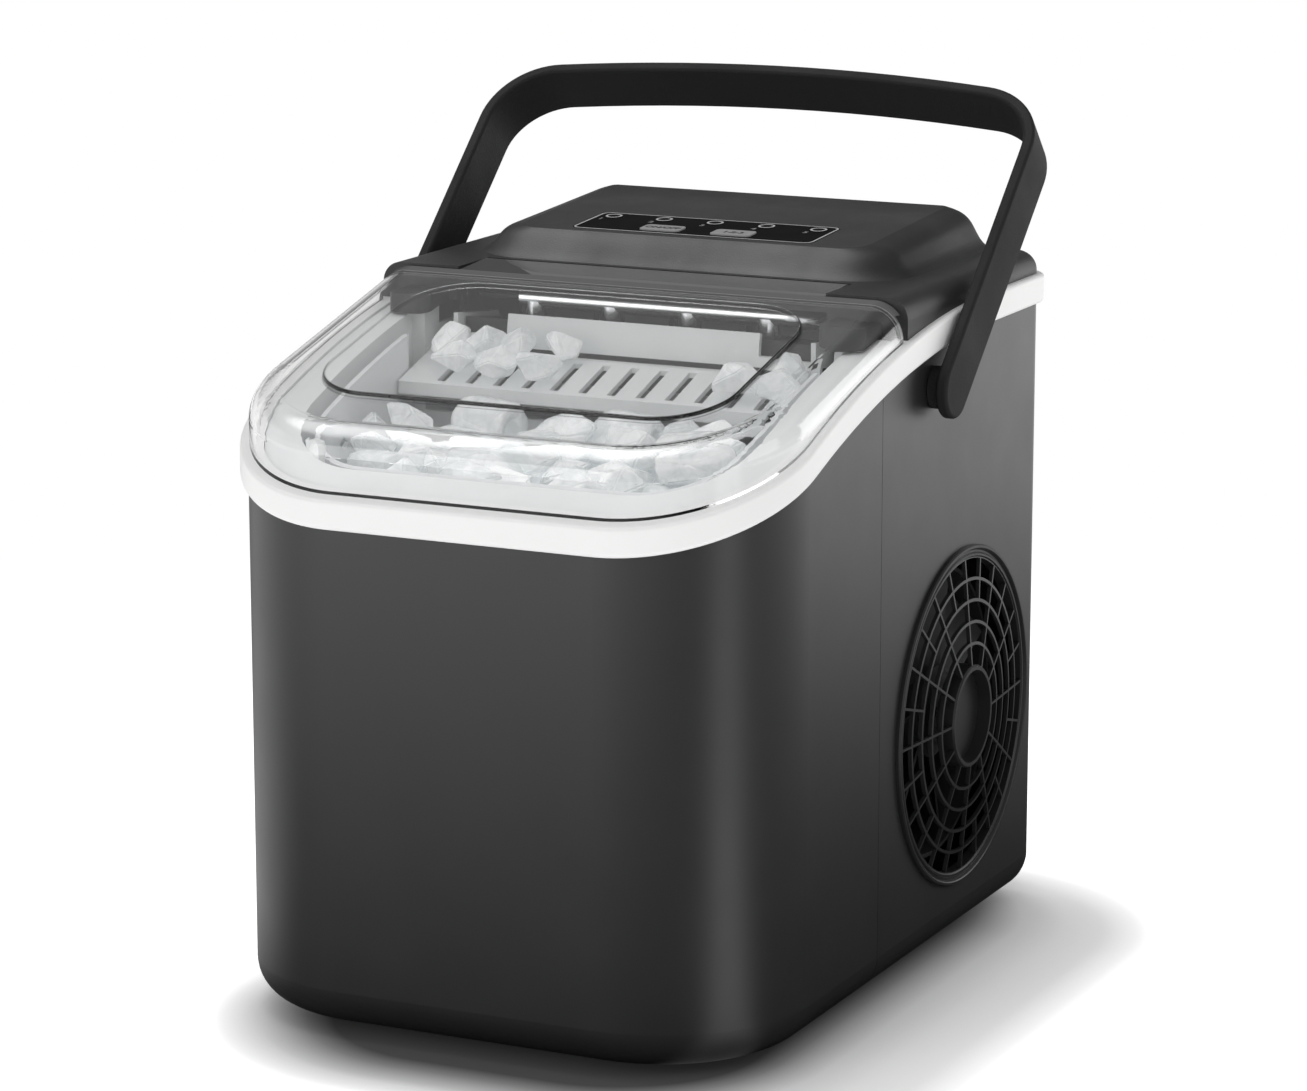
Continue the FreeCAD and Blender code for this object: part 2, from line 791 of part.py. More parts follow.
# ================================================================ lid
def lid_form(inset):
    """Lid's outer form when inset is 0, its inner form when inset is the wall."""
    top = inset / math.cos(math.radians(lid_slope_deg))
    form = body_prism(-inset, cover_top_z - 120, cover_top_z + 50, lid_front_inset)
    form = form.cut(plate([(-far, lid_z(-far) - top), (far, lid_z(far) - top), (far, 2 * far),
                           (-far, 2 * far)], -far, far))
    form = form.common(slab_y(-far, lid_rear_y - inset))

    def on_top_rim(edge):
        middle = edge.valueAt((edge.FirstParameter + edge.LastParameter) / 2)
        on_top = near(middle.z, lid_z(middle.y) - top, 0.05)
        return on_top and edge.BoundBox.YMin < lid_rear_y - inset - 0.5
    return filleted(form, lid_edge_r - inset, on_top_rim)


def lid():
    shell = lid_form(0).cut(lid_form(lid_wall))
    shell = shell.cut(below_shoulder(band_height + fit_gap))
    lip_low = lid_z(lid_rear_y) - lid_rear_lip
    shell = shell.cut(box(-far, far, lid_rear_y - lid_wall - 1, far, -far, lip_low))
    shell = shell.fuse(window_pad()).fuse(lid_tab()).removeSplitter()
    return shell


def window_pad():
    y0, y1 = window_front_y, window_rear_y
    c = math.cos(math.radians(lid_slope_deg))
    wire = rounded_wire(-window_half_w, window_half_w, 0, (y1 - y0) / c, [window_corner_r] * 4, -0.4)
    pad = Part.Face(wire).extrude(V(0, 0, window_rise + 0.4))
    pad = filleted(pad, window_edge_r, lambda e: e.BoundBox.ZMin > window_rise - 0.01)
    pad.rotate(V(0, 0, 0), X_AXIS, lid_slope_deg)
    pad.translate(V(0, y0, lid_z(y0)))
    return pad


def lid_tab():
    z_top = hinge_z + hinge_barrel_r
    y0 = lid_rear_y - 1.5
    z0 = lid_z(y0)
    web = plate([(y0, z0 - lid_wall), (hinge_y, z_top - lid_wall), (hinge_y, z_top), (y0, z0)],
                -tab_half_w, tab_half_w)
    barrel = x_cylinder(hinge_barrel_r, -tab_half_w, tab_half_w, hinge_y, hinge_z)
    tab = web.fuse(barrel).removeSplitter()
    return tab.cut(x_cylinder(hinge_pin_r, -tab_half_w - 1, -tab_half_w + 8, hinge_y, hinge_z)).cut(
        x_cylinder(hinge_pin_r, tab_half_w - 8, tab_half_w + 1, hinge_y, hinge_z))


def lid_pins():
    pin = x_cylinder(hinge_pin_r, tab_half_w - 8, tab_half_w + 3.0, hinge_y, hinge_z)
    return both_sides(pin)


# ================================================================ handle
def handle_path(offset, z_low):
    """Inverted U in the XZ plane: arms, rounded corners and a slightly crowned top bar."""
    top = handle_reach
    chord = handle_half_w - handle_corner_r
    crown_r = (chord ** 2 + handle_crown ** 2) / (2 * handle_crown)
    crown_z = top - crown_r
    r = handle_corner_r
    cx = handle_half_w - r
    cz = crown_z + math.sqrt((crown_r - r) ** 2 - cx ** 2)
    x = handle_half_w - offset
    rr = r - offset
    big = crown_r - offset
    reach = math.hypot(cx, cz - crown_z)
    tx, tz = cx / reach, (cz - crown_z) / reach
    join = V(cx + rr * tx, 0, cz + rr * tz)
    a_mid = math.atan2(tz, tx) / 2
    mid = V(cx + rr * math.cos(a_mid), 0, cz + rr * math.sin(a_mid))
    arm_top = V(x, 0, cz)

    def flip(p):
        return V(-p.x, p.y, p.z)
    top_mid = V(0, 0, crown_z + big)
    return [Part.LineSegment(V(x, 0, z_low), arm_top).toShape(),
            Part.Arc(arm_top, mid, join).toShape(),
            Part.Arc(join, top_mid, flip(join)).toShape(),
            Part.Arc(flip(join), flip(mid), flip(arm_top)).toShape(),
            Part.LineSegment(flip(arm_top), V(-x, 0, z_low)).toShape()]


def on_pivot(shape):
    """Moves a piece modelled upright about the origin to the handle's pivot, leaning back."""
    shape.rotate(V(0, 0, 0), X_AXIS, -handle_lean_deg)
    shape.translate(V(0, pivot_y, pivot_z))
    return shape


def handle():
    low = -handle_width
    outer = handle_path(0, low)
    inner = handle_path(handle_thickness, low)
    feet_edges = [Part.LineSegment(V(handle_inner_x, 0, low), V(handle_half_w, 0, low)).toShape(),
                  Part.LineSegment(V(-handle_inner_x, 0, low), V(-handle_half_w, 0, low)).toShape()]
    wire = Part.Wire(Part.__sortEdges__(outer + inner + feet_edges))
    strap = Part.Face(wire).extrude(V(0, handle_width, 0))
    strap.translate(V(0, -handle_width / 2, 0))
    r = handle_width / 2
    bottom = V(-far, 0, -r)
    left, right = V(-far, -r, 0), V(-far, r, 0)
    left_top, right_top = V(-far, -r, far), V(-far, r, far)
    side = [Part.Arc(left, bottom, right).toShape(), Part.LineSegment(right, right_top).toShape(),
            Part.LineSegment(right_top, left_top).toShape(), Part.LineSegment(left_top, left).toShape()]
    strap = strap.common(Part.Face(Part.Wire(side)).extrude(V(2 * far, 0, 0)))
    rims = [e for e in strap.Edges if e.BoundBox.DiagonalLength > handle_thickness + 1]
    strap = strap.makeFillet(handle_edge_r, rims)
    return on_pivot(strap)


def handle_pivots():
    """Hub and stepped pin on each arm; the pin turns in a bushing inside the shell."""
    hub = x_cylinder(pivot_hub_r, half_w + fit_gap, handle_inner_x, pivot_y, pivot_z)
    inside = half_w - shell_wall - bushing_length - 0.6
    pin = x_cylinder(pivot_pin_r, inside, half_w + fit_gap + 0.1, pivot_y, pivot_z)
    clip = x_cylinder(pivot_pin_r + 1.6, inside - 2.0, inside, pivot_y, pivot_z)
    return both_sides(fuse_all([hub, pin, clip]))


def pivot_bushings():
    x1 = half_w - shell_wall - 0.05
    ring = x_ring(pivot_pin_r + bushing_wall, pivot_pin_r + running_gap, x1 - bushing_length, x1,
                  pivot_y, pivot_z)
    return both_sides(ring)


# ================================================================ grille, fan and condenser
def ring_sectors(r0, r1, count, x0, x1):
    """Ring between r0 and r1 divided by radial spokes, the first of them upright."""
    ring = x_ring(r1, r0, x0, x1, 0, 0)
    spokes = []
    for i in range(count):
        spoke = box(x0 - 1, x1 + 1, -grille_spoke_w / 2, grille_spoke_w / 2, 0, r1 + 5)
        spoke.rotate(V(0, 0, 0), X_AXIS, i * 360.0 / count)
        spokes.append(spoke)
    return ring.cut(Part.makeCompound(spokes))


def grille_plate_form():
    """Turned form of the grille before its slots: rim, shallow cone and sunken hub."""
    x = half_w
    rim_x = x + grille_rim_proud * 0.4
    hub_x = rim_x + grille_dome
    floor_x = hub_x - grille_hub_depth
    seat_x = x - shell_wall - 0.8
    slot_r, rim_r, hub_r = grille_slot_r, grille_rim_r, grille_hub_r
    bead_x, groove_x = x + grille_rim_proud, x + grille_rim_proud * 0.35
    profile = [(slot_r, rim_x), (slot_r + 0.5, rim_x + 0.5), (slot_r + 1.3, rim_x + 0.5), (slot_r + 1.9, groove_x),
               (rim_r - 2.3, groove_x), (rim_r - 1.8, bead_x - 0.3), (rim_r - 1.4, bead_x),
               (rim_r - 0.5, bead_x), (rim_r, bead_x - 0.6), (rim_r, x + 0.05), (slot_r + 1.6, x + 0.05), (slot_r + 1.6, seat_x),
               (slot_r - 0.4, seat_x), (slot_r - 0.4, rim_x - grille_plate), (hub_r, hub_x - grille_plate),
               (hub_r, floor_x - 2), (0, floor_x - 2), (0, floor_x), (hub_r - grille_hub_wall, floor_x),
               (hub_r - grille_hub_wall, hub_x + 0.7), (hub_r - 0.5, hub_x + 0.7), (hub_r, hub_x)]
    return revolved([V(px, 0, pr) for pr, px in profile], V(0, 0, 0), X_AXIS)


def fan_grille():
    grille = grille_plate_form()
    pitch = (grille_slot_r - grille_hub_r) / grille_rows
    for row in range(grille_rows):
        r0 = grille_hub_r + row * pitch + (grille_ring_w / 2 if row else 0)
        r1 = grille_hub_r + (row + 1) * pitch - (grille_ring_w / 2 if row < grille_rows - 1 else 0.4)
        fine = row >= grille_rows - grille_fine_rows
        count = grille_spokes * (2 if fine else 1)
        grille = grille.cut(ring_sectors(r0, r1, count, half_w - 8, half_w + 12))
    grille.translate(V(0, grille_y, grille_z))
    return grille


def fan_blade():
    """One blade, twisted from root to tip, about the X axis."""
    sections = []
    for r, pitch_deg, chord in ((fan_hub_r - 1.0, fan_pitch_deg + 12, 20.0), (fan_r, fan_pitch_deg - 6, 34.0)):
        a = math.radians(pitch_deg)
        half = min(chord / 2, fan_depth / 2 / math.sin(a))
        t = fan_blade_wall / 2
        corners = []
        for u, v in ((-half, -t), (half, -t * 0.5), (half, t * 0.5), (-half, t)):
            corners.append(V(u * math.sin(a) + v * math.cos(a), u * math.cos(a) - v * math.sin(a), r))
        sections.append(Part.makePolygon(corners + corners[:1]))
    return Part.makeLoft(sections, True, True)


def fan():
    mid_x = fan_rear_x + fan_depth / 2
    hub = x_ring(fan_hub_r, motor_shaft_r, -fan_depth / 2, fan_depth / 2, 0, 0)
    cavity = x_ring(fan_hub_r - 2.0, 5.0, -fan_depth / 2 - 1, fan_depth / 2 - 2.5, 0, 0)
    hub = hub.cut(cavity)
    blade = fan_blade()
    shapes = [hub]
    for i in range(fan_blades):
        copy = blade.copy()
        copy.rotate(V(0, 0, 0), X_AXIS, i * 360.0 / fan_blades)
        shapes.append(copy.cut(x_cylinder(fan_hub_r - 1.9, -20, 20, 0, 0)))
    wheel = fuse_all(shapes).common(x_cylinder(fan_r, -20, 20, 0, 0))
    wheel.translate(V(mid_x, grille_y, grille_z))
    return wheel


def fan_motor():
    x1 = fan_rear_x - motor_gap
    can = x_cylinder(motor_r, x1 - motor_length, x1, grille_y, grille_z)
    can = filleted(can, 2.0, lambda e: e.BoundBox.XLength < 0.01)
    return can.cut(x_cylinder(motor_shaft_r + running_gap, x1 - 6.5, x1 + 1, grille_y, grille_z))


def fan_shaft():
    x1 = fan_rear_x - motor_gap
    return x_cylinder(motor_shaft_r, x1 - 6, fan_rear_x + fan_depth - 3, grille_y, grille_z)


def fan_shroud():
    x1 = fan_rear_x - motor_gap
    y0, y1 = grille_y - shroud_half, grille_y + shroud_half
    z0 = pan_top_z
    z1 = grille_z + shroud_half
    sheet = box(x1 - 8 - shroud_wall, x1 - 8, y0, y1, z0, z1)
    sheet = sheet.cut(x_cylinder(fan_r - 2, x1 - 20, x1, grille_y, grille_z))
    inner = fan_r + shroud_clearance
    collar = x_ring(inner + shroud_wall, inner, x1 - 8 - 0.1, fan_rear_x + fan_depth,
                    grille_y, grille_z)
    arms = []
    for i in range(3):
        arm = box(x1 - 8 - shroud_wall, x1 - 8, -3, 3, motor_r + 0.2, fan_r)
        arm.rotate(V(0, 0, 0), X_AXIS, i * 120)
        arm.translate(V(0, grille_y, grille_z))
        arms.append(arm)
    clamp = x_ring(motor_r + 2.0, motor_r + 0.05, x1 - 8 - shroud_wall - 4, x1 - 8, grille_y, grille_z)
    flange = box(x1 - 22, x1 - 8, y0, y1, z0, z0 + shroud_wall)
    return fuse_all([sheet, collar, clamp, flange] + arms)


def condenser_row_z(k):
    low = pan_top_z + 22
    high = condenser_top_z - 18
    return low + k * (high - low) / (condenser_rows - 1)


def condenser():
    """Finned coil beside the fan: upright fins with a tube that snakes through them."""
    x0, x1 = condenser_x - condenser_thickness, condenser_x
    y0, y1 = grille_y - condenser_half_depth, grille_y + condenser_half_depth
    z1 = condenser_top_z
    pitch = (y1 - y0) / (condenser_fins - 1)
    parts = []
    for i in range(condenser_fins):
        y = y0 + i * pitch
        end_plate = i in (0, condenser_fins - 1)
        half = 0.8 if end_plate else 0.4
        low = pan_top_z if end_plate else pan_top_z + 10
        parts.append(box(x0, x1, y - half, y + half, low, z1))
    xm = condenser_x - condenser_thickness / 2
    end0, end1 = y0 - 1.0, y1 + 1.0
    heights = [condenser_row_z(k) for k in range(condenser_rows)]
    for z in heights:
        parts.append(Part.makeCylinder(condenser_tube_r, end1 - end0, V(xm, end0, z), Y_AXIS))
    for k in range(condenser_rows - 1):
        direction = -1 if k % 2 == 0 else 1
        y = end0 if direction < 0 else end1
        parts.append(u_bend(xm, y, heights[k], heights[k + 1], direction))
    return parts[0].multiFuse(parts[1:]).removeSplitter()


def u_bend(x, y, z0, z1, direction):
    r = (z1 - z0) / 2
    arc = Part.Arc(V(x, y, z0), V(x, y + direction * r, z0 + r), V(x, y, z1)).toShape()
    profile = Part.Wire(Part.makeCircle(condenser_tube_r, V(x, y, z0), Y_AXIS))
    return Part.Wire([arc]).makePipeShell([profile], True, False)


# ================================================================ compressor and pipes
def compressor_mounts():
    return [(compressor_x + sx * mount_reach, compressor_y + sy * mount_reach)
            for sx in (-1, 1) for sy in (-1, 1)]


def compressor_base_z():
    return pan_top_z + mount_post_height + grommet_h


def compressor_can(z0, r, height, lower):
    """One deep-drawn half of the hermetic housing."""
    can = Part.makeCylinder(r, height, V(compressor_x, compressor_y, z0))
    closed_z = z0 if lower else z0 + height
    return filleted(can, r * 0.42, lambda e: near(e.BoundBox.ZMin, closed_z) and near(e.BoundBox.ZMax, closed_z))


def compressor():
    z0 = compressor_base_z()
    reach = mount_reach + 9
    wire = rounded_wire(-reach, reach, -reach, reach, [12.0] * 4, 0)
    foot_plate = Part.Face(wire).extrude(V(0, 0, compressor_plate))
    foot_plate.translate(V(compressor_x, compressor_y, z0))
    split = compressor_height * 0.55
    body_z = z0 + compressor_plate - 0.5
    lower = compressor_can(body_z, compressor_r - 1.5, split, True)
    upper = compressor_can(body_z + split - 1, compressor_r - 2.5, compressor_height - split, False)
    seam = Part.makeCylinder(compressor_r, 4, V(compressor_x, compressor_y, body_z + split - 4))
    body = fuse_all([foot_plate, lower, upper, seam])
    for x, y in compressor_mounts():
        body = body.cut(Part.makeCylinder(bolt_r, compressor_plate + 2, V(x, y, z0 - 1)))
    return body


def compressor_grommets():
    z0 = pan_top_z + mount_post_height
    h = grommet_h
    shapes = []
    for x, y in compressor_mounts():
        profile = [V(bolt_r, 0, 0), V(7, 0, 0), V(7, 0, 2), V(5.4, 0, 3), V(5.4, 0, h - 2), V(7, 0, h - 1),
                   V(7, 0, h), V(bolt_r, 0, h)]
        shapes.append(revolved(profile, V(x, y, z0), Z_AXIS))
    return Part.makeCompound(shapes)


def compressor_bolts():
    z1 = compressor_base_z() + compressor_plate
    length = compressor_plate + grommet_h + mount_post_height
    shapes = []
    for x, y in compressor_mounts():
        head = Part.makeCylinder(4, 3, V(x, y, z1))
        shapes.append(head.fuse(Part.makeCylinder(bolt_r, length, V(x, y, z1 - length))))
    return Part.makeCompound(shapes)


def terminal_cover():
    """Plastic cap over the compressor's electrical terminals, on its left side."""
    z = compressor_base_z() + compressor_plate + 22
    x0 = compressor_x - compressor_r - 9
    block = box(x0, compressor_x - compressor_r + 6, compressor_y - 17, compressor_y + 17, z, z + 30)
    block = filleted(block, 3, lambda e: near(e.BoundBox.ZLength, 30) and e.BoundBox.XMax < x0 + 1)
    return block.cut(compressor())


def pipe_routes():
    """Centre lines of the refrigerant lines, as corner points."""
    top = compressor_base_z() + compressor_plate + compressor_height
    xm = condenser_x - condenser_thickness / 2
    coil_end = grille_y + condenser_half_depth + 1.0
    out_x, out_y = compressor_x + 16, compressor_y + 16
    run_z = top + 30
    z = evaporator_z
    return {
        "discharge": [(out_x, out_y, top - 20), (out_x, out_y, run_z), (out_x, rear_run_y, run_z),
                      (xm, rear_run_y, run_z), (xm, rear_run_y, condenser_row_z(condenser_rows - 1)),
                      (xm, coil_end, condenser_row_z(condenser_rows - 1))],
        "liquid": [(xm, coil_end, condenser_row_z(0)), (xm, drier_y, condenser_row_z(0)), (xm, drier_y, drier_z)],
        "capillary": [(xm, drier_y, drier_z + drier_length), (xm, drier_y, z), (capillary_x, drier_y, z),
                      (capillary_x, front_row_y, z), (-front_run_half, front_row_y, z)],
        "suction": [(-2 * finger_pitch, rear_row_y, z), (-2 * finger_pitch, suction_y, z),
                    (-2 * finger_pitch, suction_y, top - 40)],
        "hot_gas": [(0, rear_run_y, valve_z + valve_length), (0, rear_run_y, z), (0, drier_y, z)],
        "hot_gas_feed": [(0, rear_run_y, run_z), (0, rear_run_y, valve_z)],
    }


def straight(points, r):
    start, end = V(*points[0]), V(*points[1])
    return Part.makeCylinder(r, (end - start).Length, start, end - start)


def discharge_pipe():
    return pipe(pipe_routes()["discharge"], pipe_r, pipe_bend).cut(compressor())


def liquid_pipe():
    return pipe(pipe_routes()["liquid"], pipe_r, pipe_bend)


def capillary_tube():
    return pipe(pipe_routes()["capillary"], capillary_r, 6.0)


def suction_pipe():
    line = pipe(pipe_routes()["suction"], suction_r, suction_bend)
    return line.cut(compressor()).cut(evaporator())


def hot_gas_pipes():
    """Branch from the discharge line up to the valve, and from the valve to the capillary."""
    routes = pipe_routes()
    feed = straight(routes["hot_gas_feed"], hot_gas_r).cut(discharge_pipe())
    out = pipe(routes["hot_gas"], hot_gas_r, 5.0).cut(capillary_tube())
    out = max(out.Solids, key=lambda solid: solid.Volume)
    return Part.makeCompound([feed, out])


def filter_drier():
    r = drier_r
    profile = [V(0, 0, 0), V(pipe_r + 0.6, 0, 0), V(pipe_r + 0.6, 0, 4), V(r, 0, 9), V(r, 0, drier_length - 9),
               V(capillary_r + 1.0, 0, drier_length - 3), V(capillary_r + 1.0, 0, drier_length),
               V(0, 0, drier_length)]
    return revolved(profile, V(condenser_x - condenser_thickness / 2, drier_y, drier_z), Z_AXIS)


def hot_gas_valve():
    """Solenoid valve: a brass body below a square coil."""
    body = Part.makeCylinder(6.0, valve_length, V(0, rear_run_y, valve_z))
    coil = box(-11, 11, rear_run_y - 11, rear_run_y + 11, valve_z + 9, valve_z + 29)
    coil = filleted(coil, 3.0, lambda e: near(e.BoundBox.ZLength, 20))
    return body.fuse(coil)


# ================================================================ tank, basket and chute
def tank_space(inset):
    """The tank's outer form for inset 0, its inner form for inset tank_wall."""
    lower = body_prism(-tank_inset - inset, tank_floor_z + inset, far)
    lower = lower.common(slab_y(-far, tank_rear_y - inset))
    upper = box(-chamber_half_w + inset, chamber_half_w - inset, tank_rear_y - inset - 6,
                chamber_rear_y - inset, chamber_floor_z + inset, far)
    return lower.fuse(upper).removeSplitter()


def inner_tank():
    top = below_shoulder(rim_top_dz)
    rim = body_prism(-band_flange_inset - fit_gap, 0, far).cut(body_prism(-tank_inset - 1, -1, far + 1))
    rim = rim.common(top).cut(below_shoulder(rim_top_dz - rim_wall))
    rim = rim.common(slab_y(-far, cover_front_y - 1.0))
    tank = tank_space(0).common(top).fuse(rim).cut(tank_space(tank_wall))
    tank = tank.cut(box(-far, far, cover_front_y - 1.0, far, evaporator_z - 10.5, far))
    seat_z = basket_floor_z - fit_gap
    x0 = half_w - basket_inset - basket_wall - 2
    x1 = half_w - tank_inset - tank_wall + 0.5
    for y in (drain_y - 18, drain_y + 27):
        ledge = box(x0, x1, y - ledge_depth / 2, y + ledge_depth / 2, seat_z - ledge_height, seat_z)
        tank = tank.multiFuse([ledge, mirrored(ledge)])
    neck = Part.makeCylinder(neck_r, tank_floor_z - base_z + 0.5, V(0, drain_y, base_z))
    tank = tank.fuse(neck).cut(Part.makeCylinder(neck_bore_r, tank_floor_z + 30, V(0, drain_y, 0)))
    x, y, z = suction_port()
    tank = tank.cut(Part.makeCylinder(water_tube_r, 10, V(x, y - 5, z), Y_AXIS))
    shaft = x_cylinder(tray_pin_r + 0.4, chamber_half_w - 5, chamber_half_w + 5, tray_axis_y, tray_axis_z)
    return tank.cut(shaft).removeSplitter()


def suction_port():
    return pump_x - 5, tank_rear_y, tank_floor_z + 10


def tank_insulation():
    """Foam jacket between the tank and the front shell."""
    jacket = body_prism(-shell_wall - 2.0, pan_top_z + rib_height + 6, far)
    jacket = jacket.cut(body_prism(-tank_inset + fit_gap, tank_floor_z - fit_gap, far + 1))
    jacket = jacket.common(slab_y(-far, tank_rear_y)).common(below_shoulder(-6))
    jacket = jacket.common(rounded_body(-shell_wall - 1.0))
    return jacket.cut(Part.makeCylinder(neck_r + fit_gap, far, V(0, drain_y, 0)))


def drain_plug():
    """Rubber stopper pushed up into the drain neck from below."""
    r = neck_bore_r - running_gap
    profile = [V(0, 0, 0), V(plug_r - 1, 0, 0), V(plug_r, 0, 1), V(plug_r, 0, 3.2), V(r, 0, 3.2), V(r, 0, 22),
               V(r - 1.5, 0, 24), V(0, 0, 24)]
    return revolved(profile, V(0, drain_y, foot_height - 1.5), Z_AXIS)


def pump_ports():
    """Places of the pump's inlet and outlet stubs, and where the hoses seat in them."""
    return (pump_x - 5, pump_y - 5), (pump_x + 5, pump_y + 5), pan_top_z + 24


def water_pump():
    z0 = pan_top_z
    inlet, outlet, seat_z = pump_ports()
    motor = Part.makeCylinder(pump_r - 1, 16, V(pump_x, pump_y, z0))
    volute = Part.makeCylinder(pump_r, 12, V(pump_x, pump_y, z0 + 15))
    stubs = [Part.makeCylinder(4.2, 6, V(x, y, z0 + 26)) for x, y in (inlet, outlet)]
    pump = fuse_all([motor, volute] + stubs)
    for x, y in (inlet, outlet):
        pump = pump.cut(Part.makeCylinder(water_tube_r, 20, V(x, y, seat_z)))
    return pump


def pump_inlet_tube():
    x, y, z = suction_port()
    (px, py), _, seat_z = pump_ports()
    return pipe([(x, y - tank_wall, z), (x, py, z), (px, py, seat_z)], water_tube_r, 4.0)


def water_feed_tube():
    """Rises from the pump behind the ice chamber and ends above the tray."""
    _, (x, y), seat_z = pump_ports()
    under = chamber_floor_z - 10
    over = tray_top_z + 3.0
    x_end = finger_pitch / 2
    return pipe([(x, y, seat_z), (x, y, under), (x_end, suction_y, under), (x_end, suction_y, over),
                 (x_end, tray_rear_y - 3, over)], water_tube_r, 7.0)


def power_board():
    """Supply and relay board on standoffs inside the back wall."""
    x, z = power_board_x, power_board_z
    y = half_d - shell_wall - standoff
    front = y - board_wall
    board = box(x, x + board_w, front, y, z, z + board_h)
    parts = []
    for dx, dz, w, h, deep in ((6, 6, 24, 24, 18), (36, 6, 16, 18, 14), (6, 40, 20, 18, 12), (34, 42, 28, 8, 8)):
        parts.append(box(x + dx, x + dx + w, front - deep, front + 0.05, z + dz, z + dz + h))
    parts.append(Part.makeCylinder(5, 18.05, V(x + 60, front + 0.05, z + 14), V(0, -1, 0)))
    for dx in (4, board_w - 4):
        for dz in (4, board_h - 4):
            parts.append(Part.makeCylinder(3, standoff + 0.05, V(x + dx, y - 0.05, z + dz), Y_AXIS))
    return fuse_all([board] + parts)


def cord_gland():
    """Strain relief bushing in the back wall where the supply cord enters."""
    y = half_d - shell_wall - 8
    body = Part.makeCylinder(inlet_r, shell_wall + 8, V(inlet_x, y, inlet_z), Y_AXIS)
    body = body.fuse(Part.makeCylinder(inlet_r + 2, 2.0, V(inlet_x, half_d, inlet_z), Y_AXIS))
    return body.cut(Part.makeCylinder(inlet_bore_r, 40, V(inlet_x, y - 5, inlet_z), Y_AXIS))


def basket_form(inset):
    form = body_prism(-basket_inset - inset, basket_floor_z + inset, far)
    return form.common(slab_y(-far, basket_rear_y - inset))


def diamond_rows(centre, half_span, top_at):
    """Places of the staggered diamonds along one wall: position along it, and height."""
    d = diamond_half
    places = []
    rows = int((top_at(centre) - basket_floor_z - diamond_rows_low) / diamond_pitch)
    for row in range(rows):
        z = basket_floor_z + diamond_rows_low + row * diamond_pitch
        count = int(half_span / diamond_pitch)
        shift = diamond_pitch / 2 if row % 2 else 0.0
        for k in range(-count, count + 1):
            u = centre + k * diamond_pitch + shift
            if abs(u - centre) <= half_span and z + d < top_at(u - d) - 5:
                places.append((u, z))
    return places


def diamond(u, z, to_point):
    d = diamond_half
    corners = [to_point(u - d, z), to_point(u, z - d), to_point(u + d, z), to_point(u, z + d)]
    return Part.Face(Part.makePolygon(corners + corners[:1]))


def ice_basket():
    basket = basket_form(0).cut(basket_form(basket_wall))
    basket = basket.common(below_shoulder(band_height - basket_below_rim))
    rear_top = shoulder_z(basket_rear_y, band_height) - basket_below_rim - basket_rear_drop
    basket = basket.cut(box(-far, far, basket_rear_y - 12, far, rear_top, far))
    side_x = half_w - basket_inset
    front_y = -half_d + basket_inset
    side_front = front_y + front_corner_r - basket_inset
    middle = (side_front + basket_rear_y) / 2
    holes = []
    for y, z in diamond_rows(middle, (basket_rear_y - side_front) / 2 - 6,
                             lambda y: shoulder_z(y, band_height) - basket_below_rim):
        cut = diamond(y, z, lambda a, b: V(-side_x - 1, a, b))
        holes.append(cut.extrude(V(2 * side_x + 2, 0, 0)))
    for x, z in diamond_rows(0.0, half_w - front_corner_r - 6,
                             lambda x: shoulder_z(front_y, band_height) - basket_below_rim):
        cut = diamond(x, z, lambda a, b: V(a, front_y - 1, b))
        holes.append(cut.extrude(V(0, basket_wall + 2, 0)))
    for x, z in diamond_rows(0.0, half_w - basket_inset - diamond_pitch, lambda x: rear_top):
        cut = diamond(x, z, lambda a, b: V(a, basket_rear_y - basket_wall - 1, b))
        holes.append(cut.extrude(V(0, basket_wall + 2, 0)))
    for i in range(5):
        for j in range(4):
            x = (i - 2) * 28.0
            y = middle - 14 + (j - 1.5) * 22.0
            holes.append(box(x - 9, x + 9, y - 2.5, y + 2.5, basket_floor_z - 1, basket_floor_z + basket_wall + 1))
    return basket.cut(Part.makeCompound(holes))


def ice_chute():
    """Slotted slide that leads the ice over the tank's rear edge into the basket."""
    w = half_w - basket_inset - basket_wall - 0.8
    y0, z0, y1, z1 = chute_low_y, chute_low_z, chute_top_y, chute_top_z
    slide = plate([(y0, z0), (y1, z1), (y1, z1 - chute_wall), (y0, z0 - chute_wall)], -w, w)
    nose = plate([(y0, z0), (y0, z0 - 5), (y0 + 2, z0 - 5), (y0 + 2, z0)], -w, w)
    ledge_w = chamber_half_w - tank_wall
    ledge = box(-ledge_w, ledge_w, tank_rear_y, chute_top_y + 4.5, z1 - chute_wall, z1)
    bridge = box(-w, w, y1 - 0.1, tank_rear_y + 0.1, z1 - chute_wall, z1)
    slide = fuse_all([slide, nose, ledge, bridge])
    pitch = 2 * frame_inner_x / (chute_slots + 1)
    for i in range(chute_slots):
        x = -frame_inner_x + (i + 1) * pitch
        slot = box(x - chute_slot_w / 2, x + chute_slot_w / 2, y0 + 2.5, y1 - 2.5, z0 - 20, z1 + 20)
        slide = slide.cut(slot)
    return slide


def ice_sensor():
    """Small light-gate housing on the tank's front left corner that sees a full basket."""
    wall_r = front_corner_r - tank_inset - tank_wall
    direction = math.radians(235)
    sensor_z = shoulder_z(-half_d + tank_inset, rim_top_dz) + sensor_rise
    x = -half_w + front_corner_r + wall_r * math.cos(direction)
    y = -half_d + front_corner_r + wall_r * math.sin(direction)
    body = box(-5.5, 5.5, -1.0, 3.4, -6, 6)
    body = filleted(body, 2.0, lambda e: near(e.BoundBox.YLength, 4.4))
    body.rotate(V(0, 0, 0), Z_AXIS, 235 - 270)
    body.translate(V(x, y, sensor_z))
    return body.common(body_prism(-tank_inset - tank_wall - 0.05, 0, far))


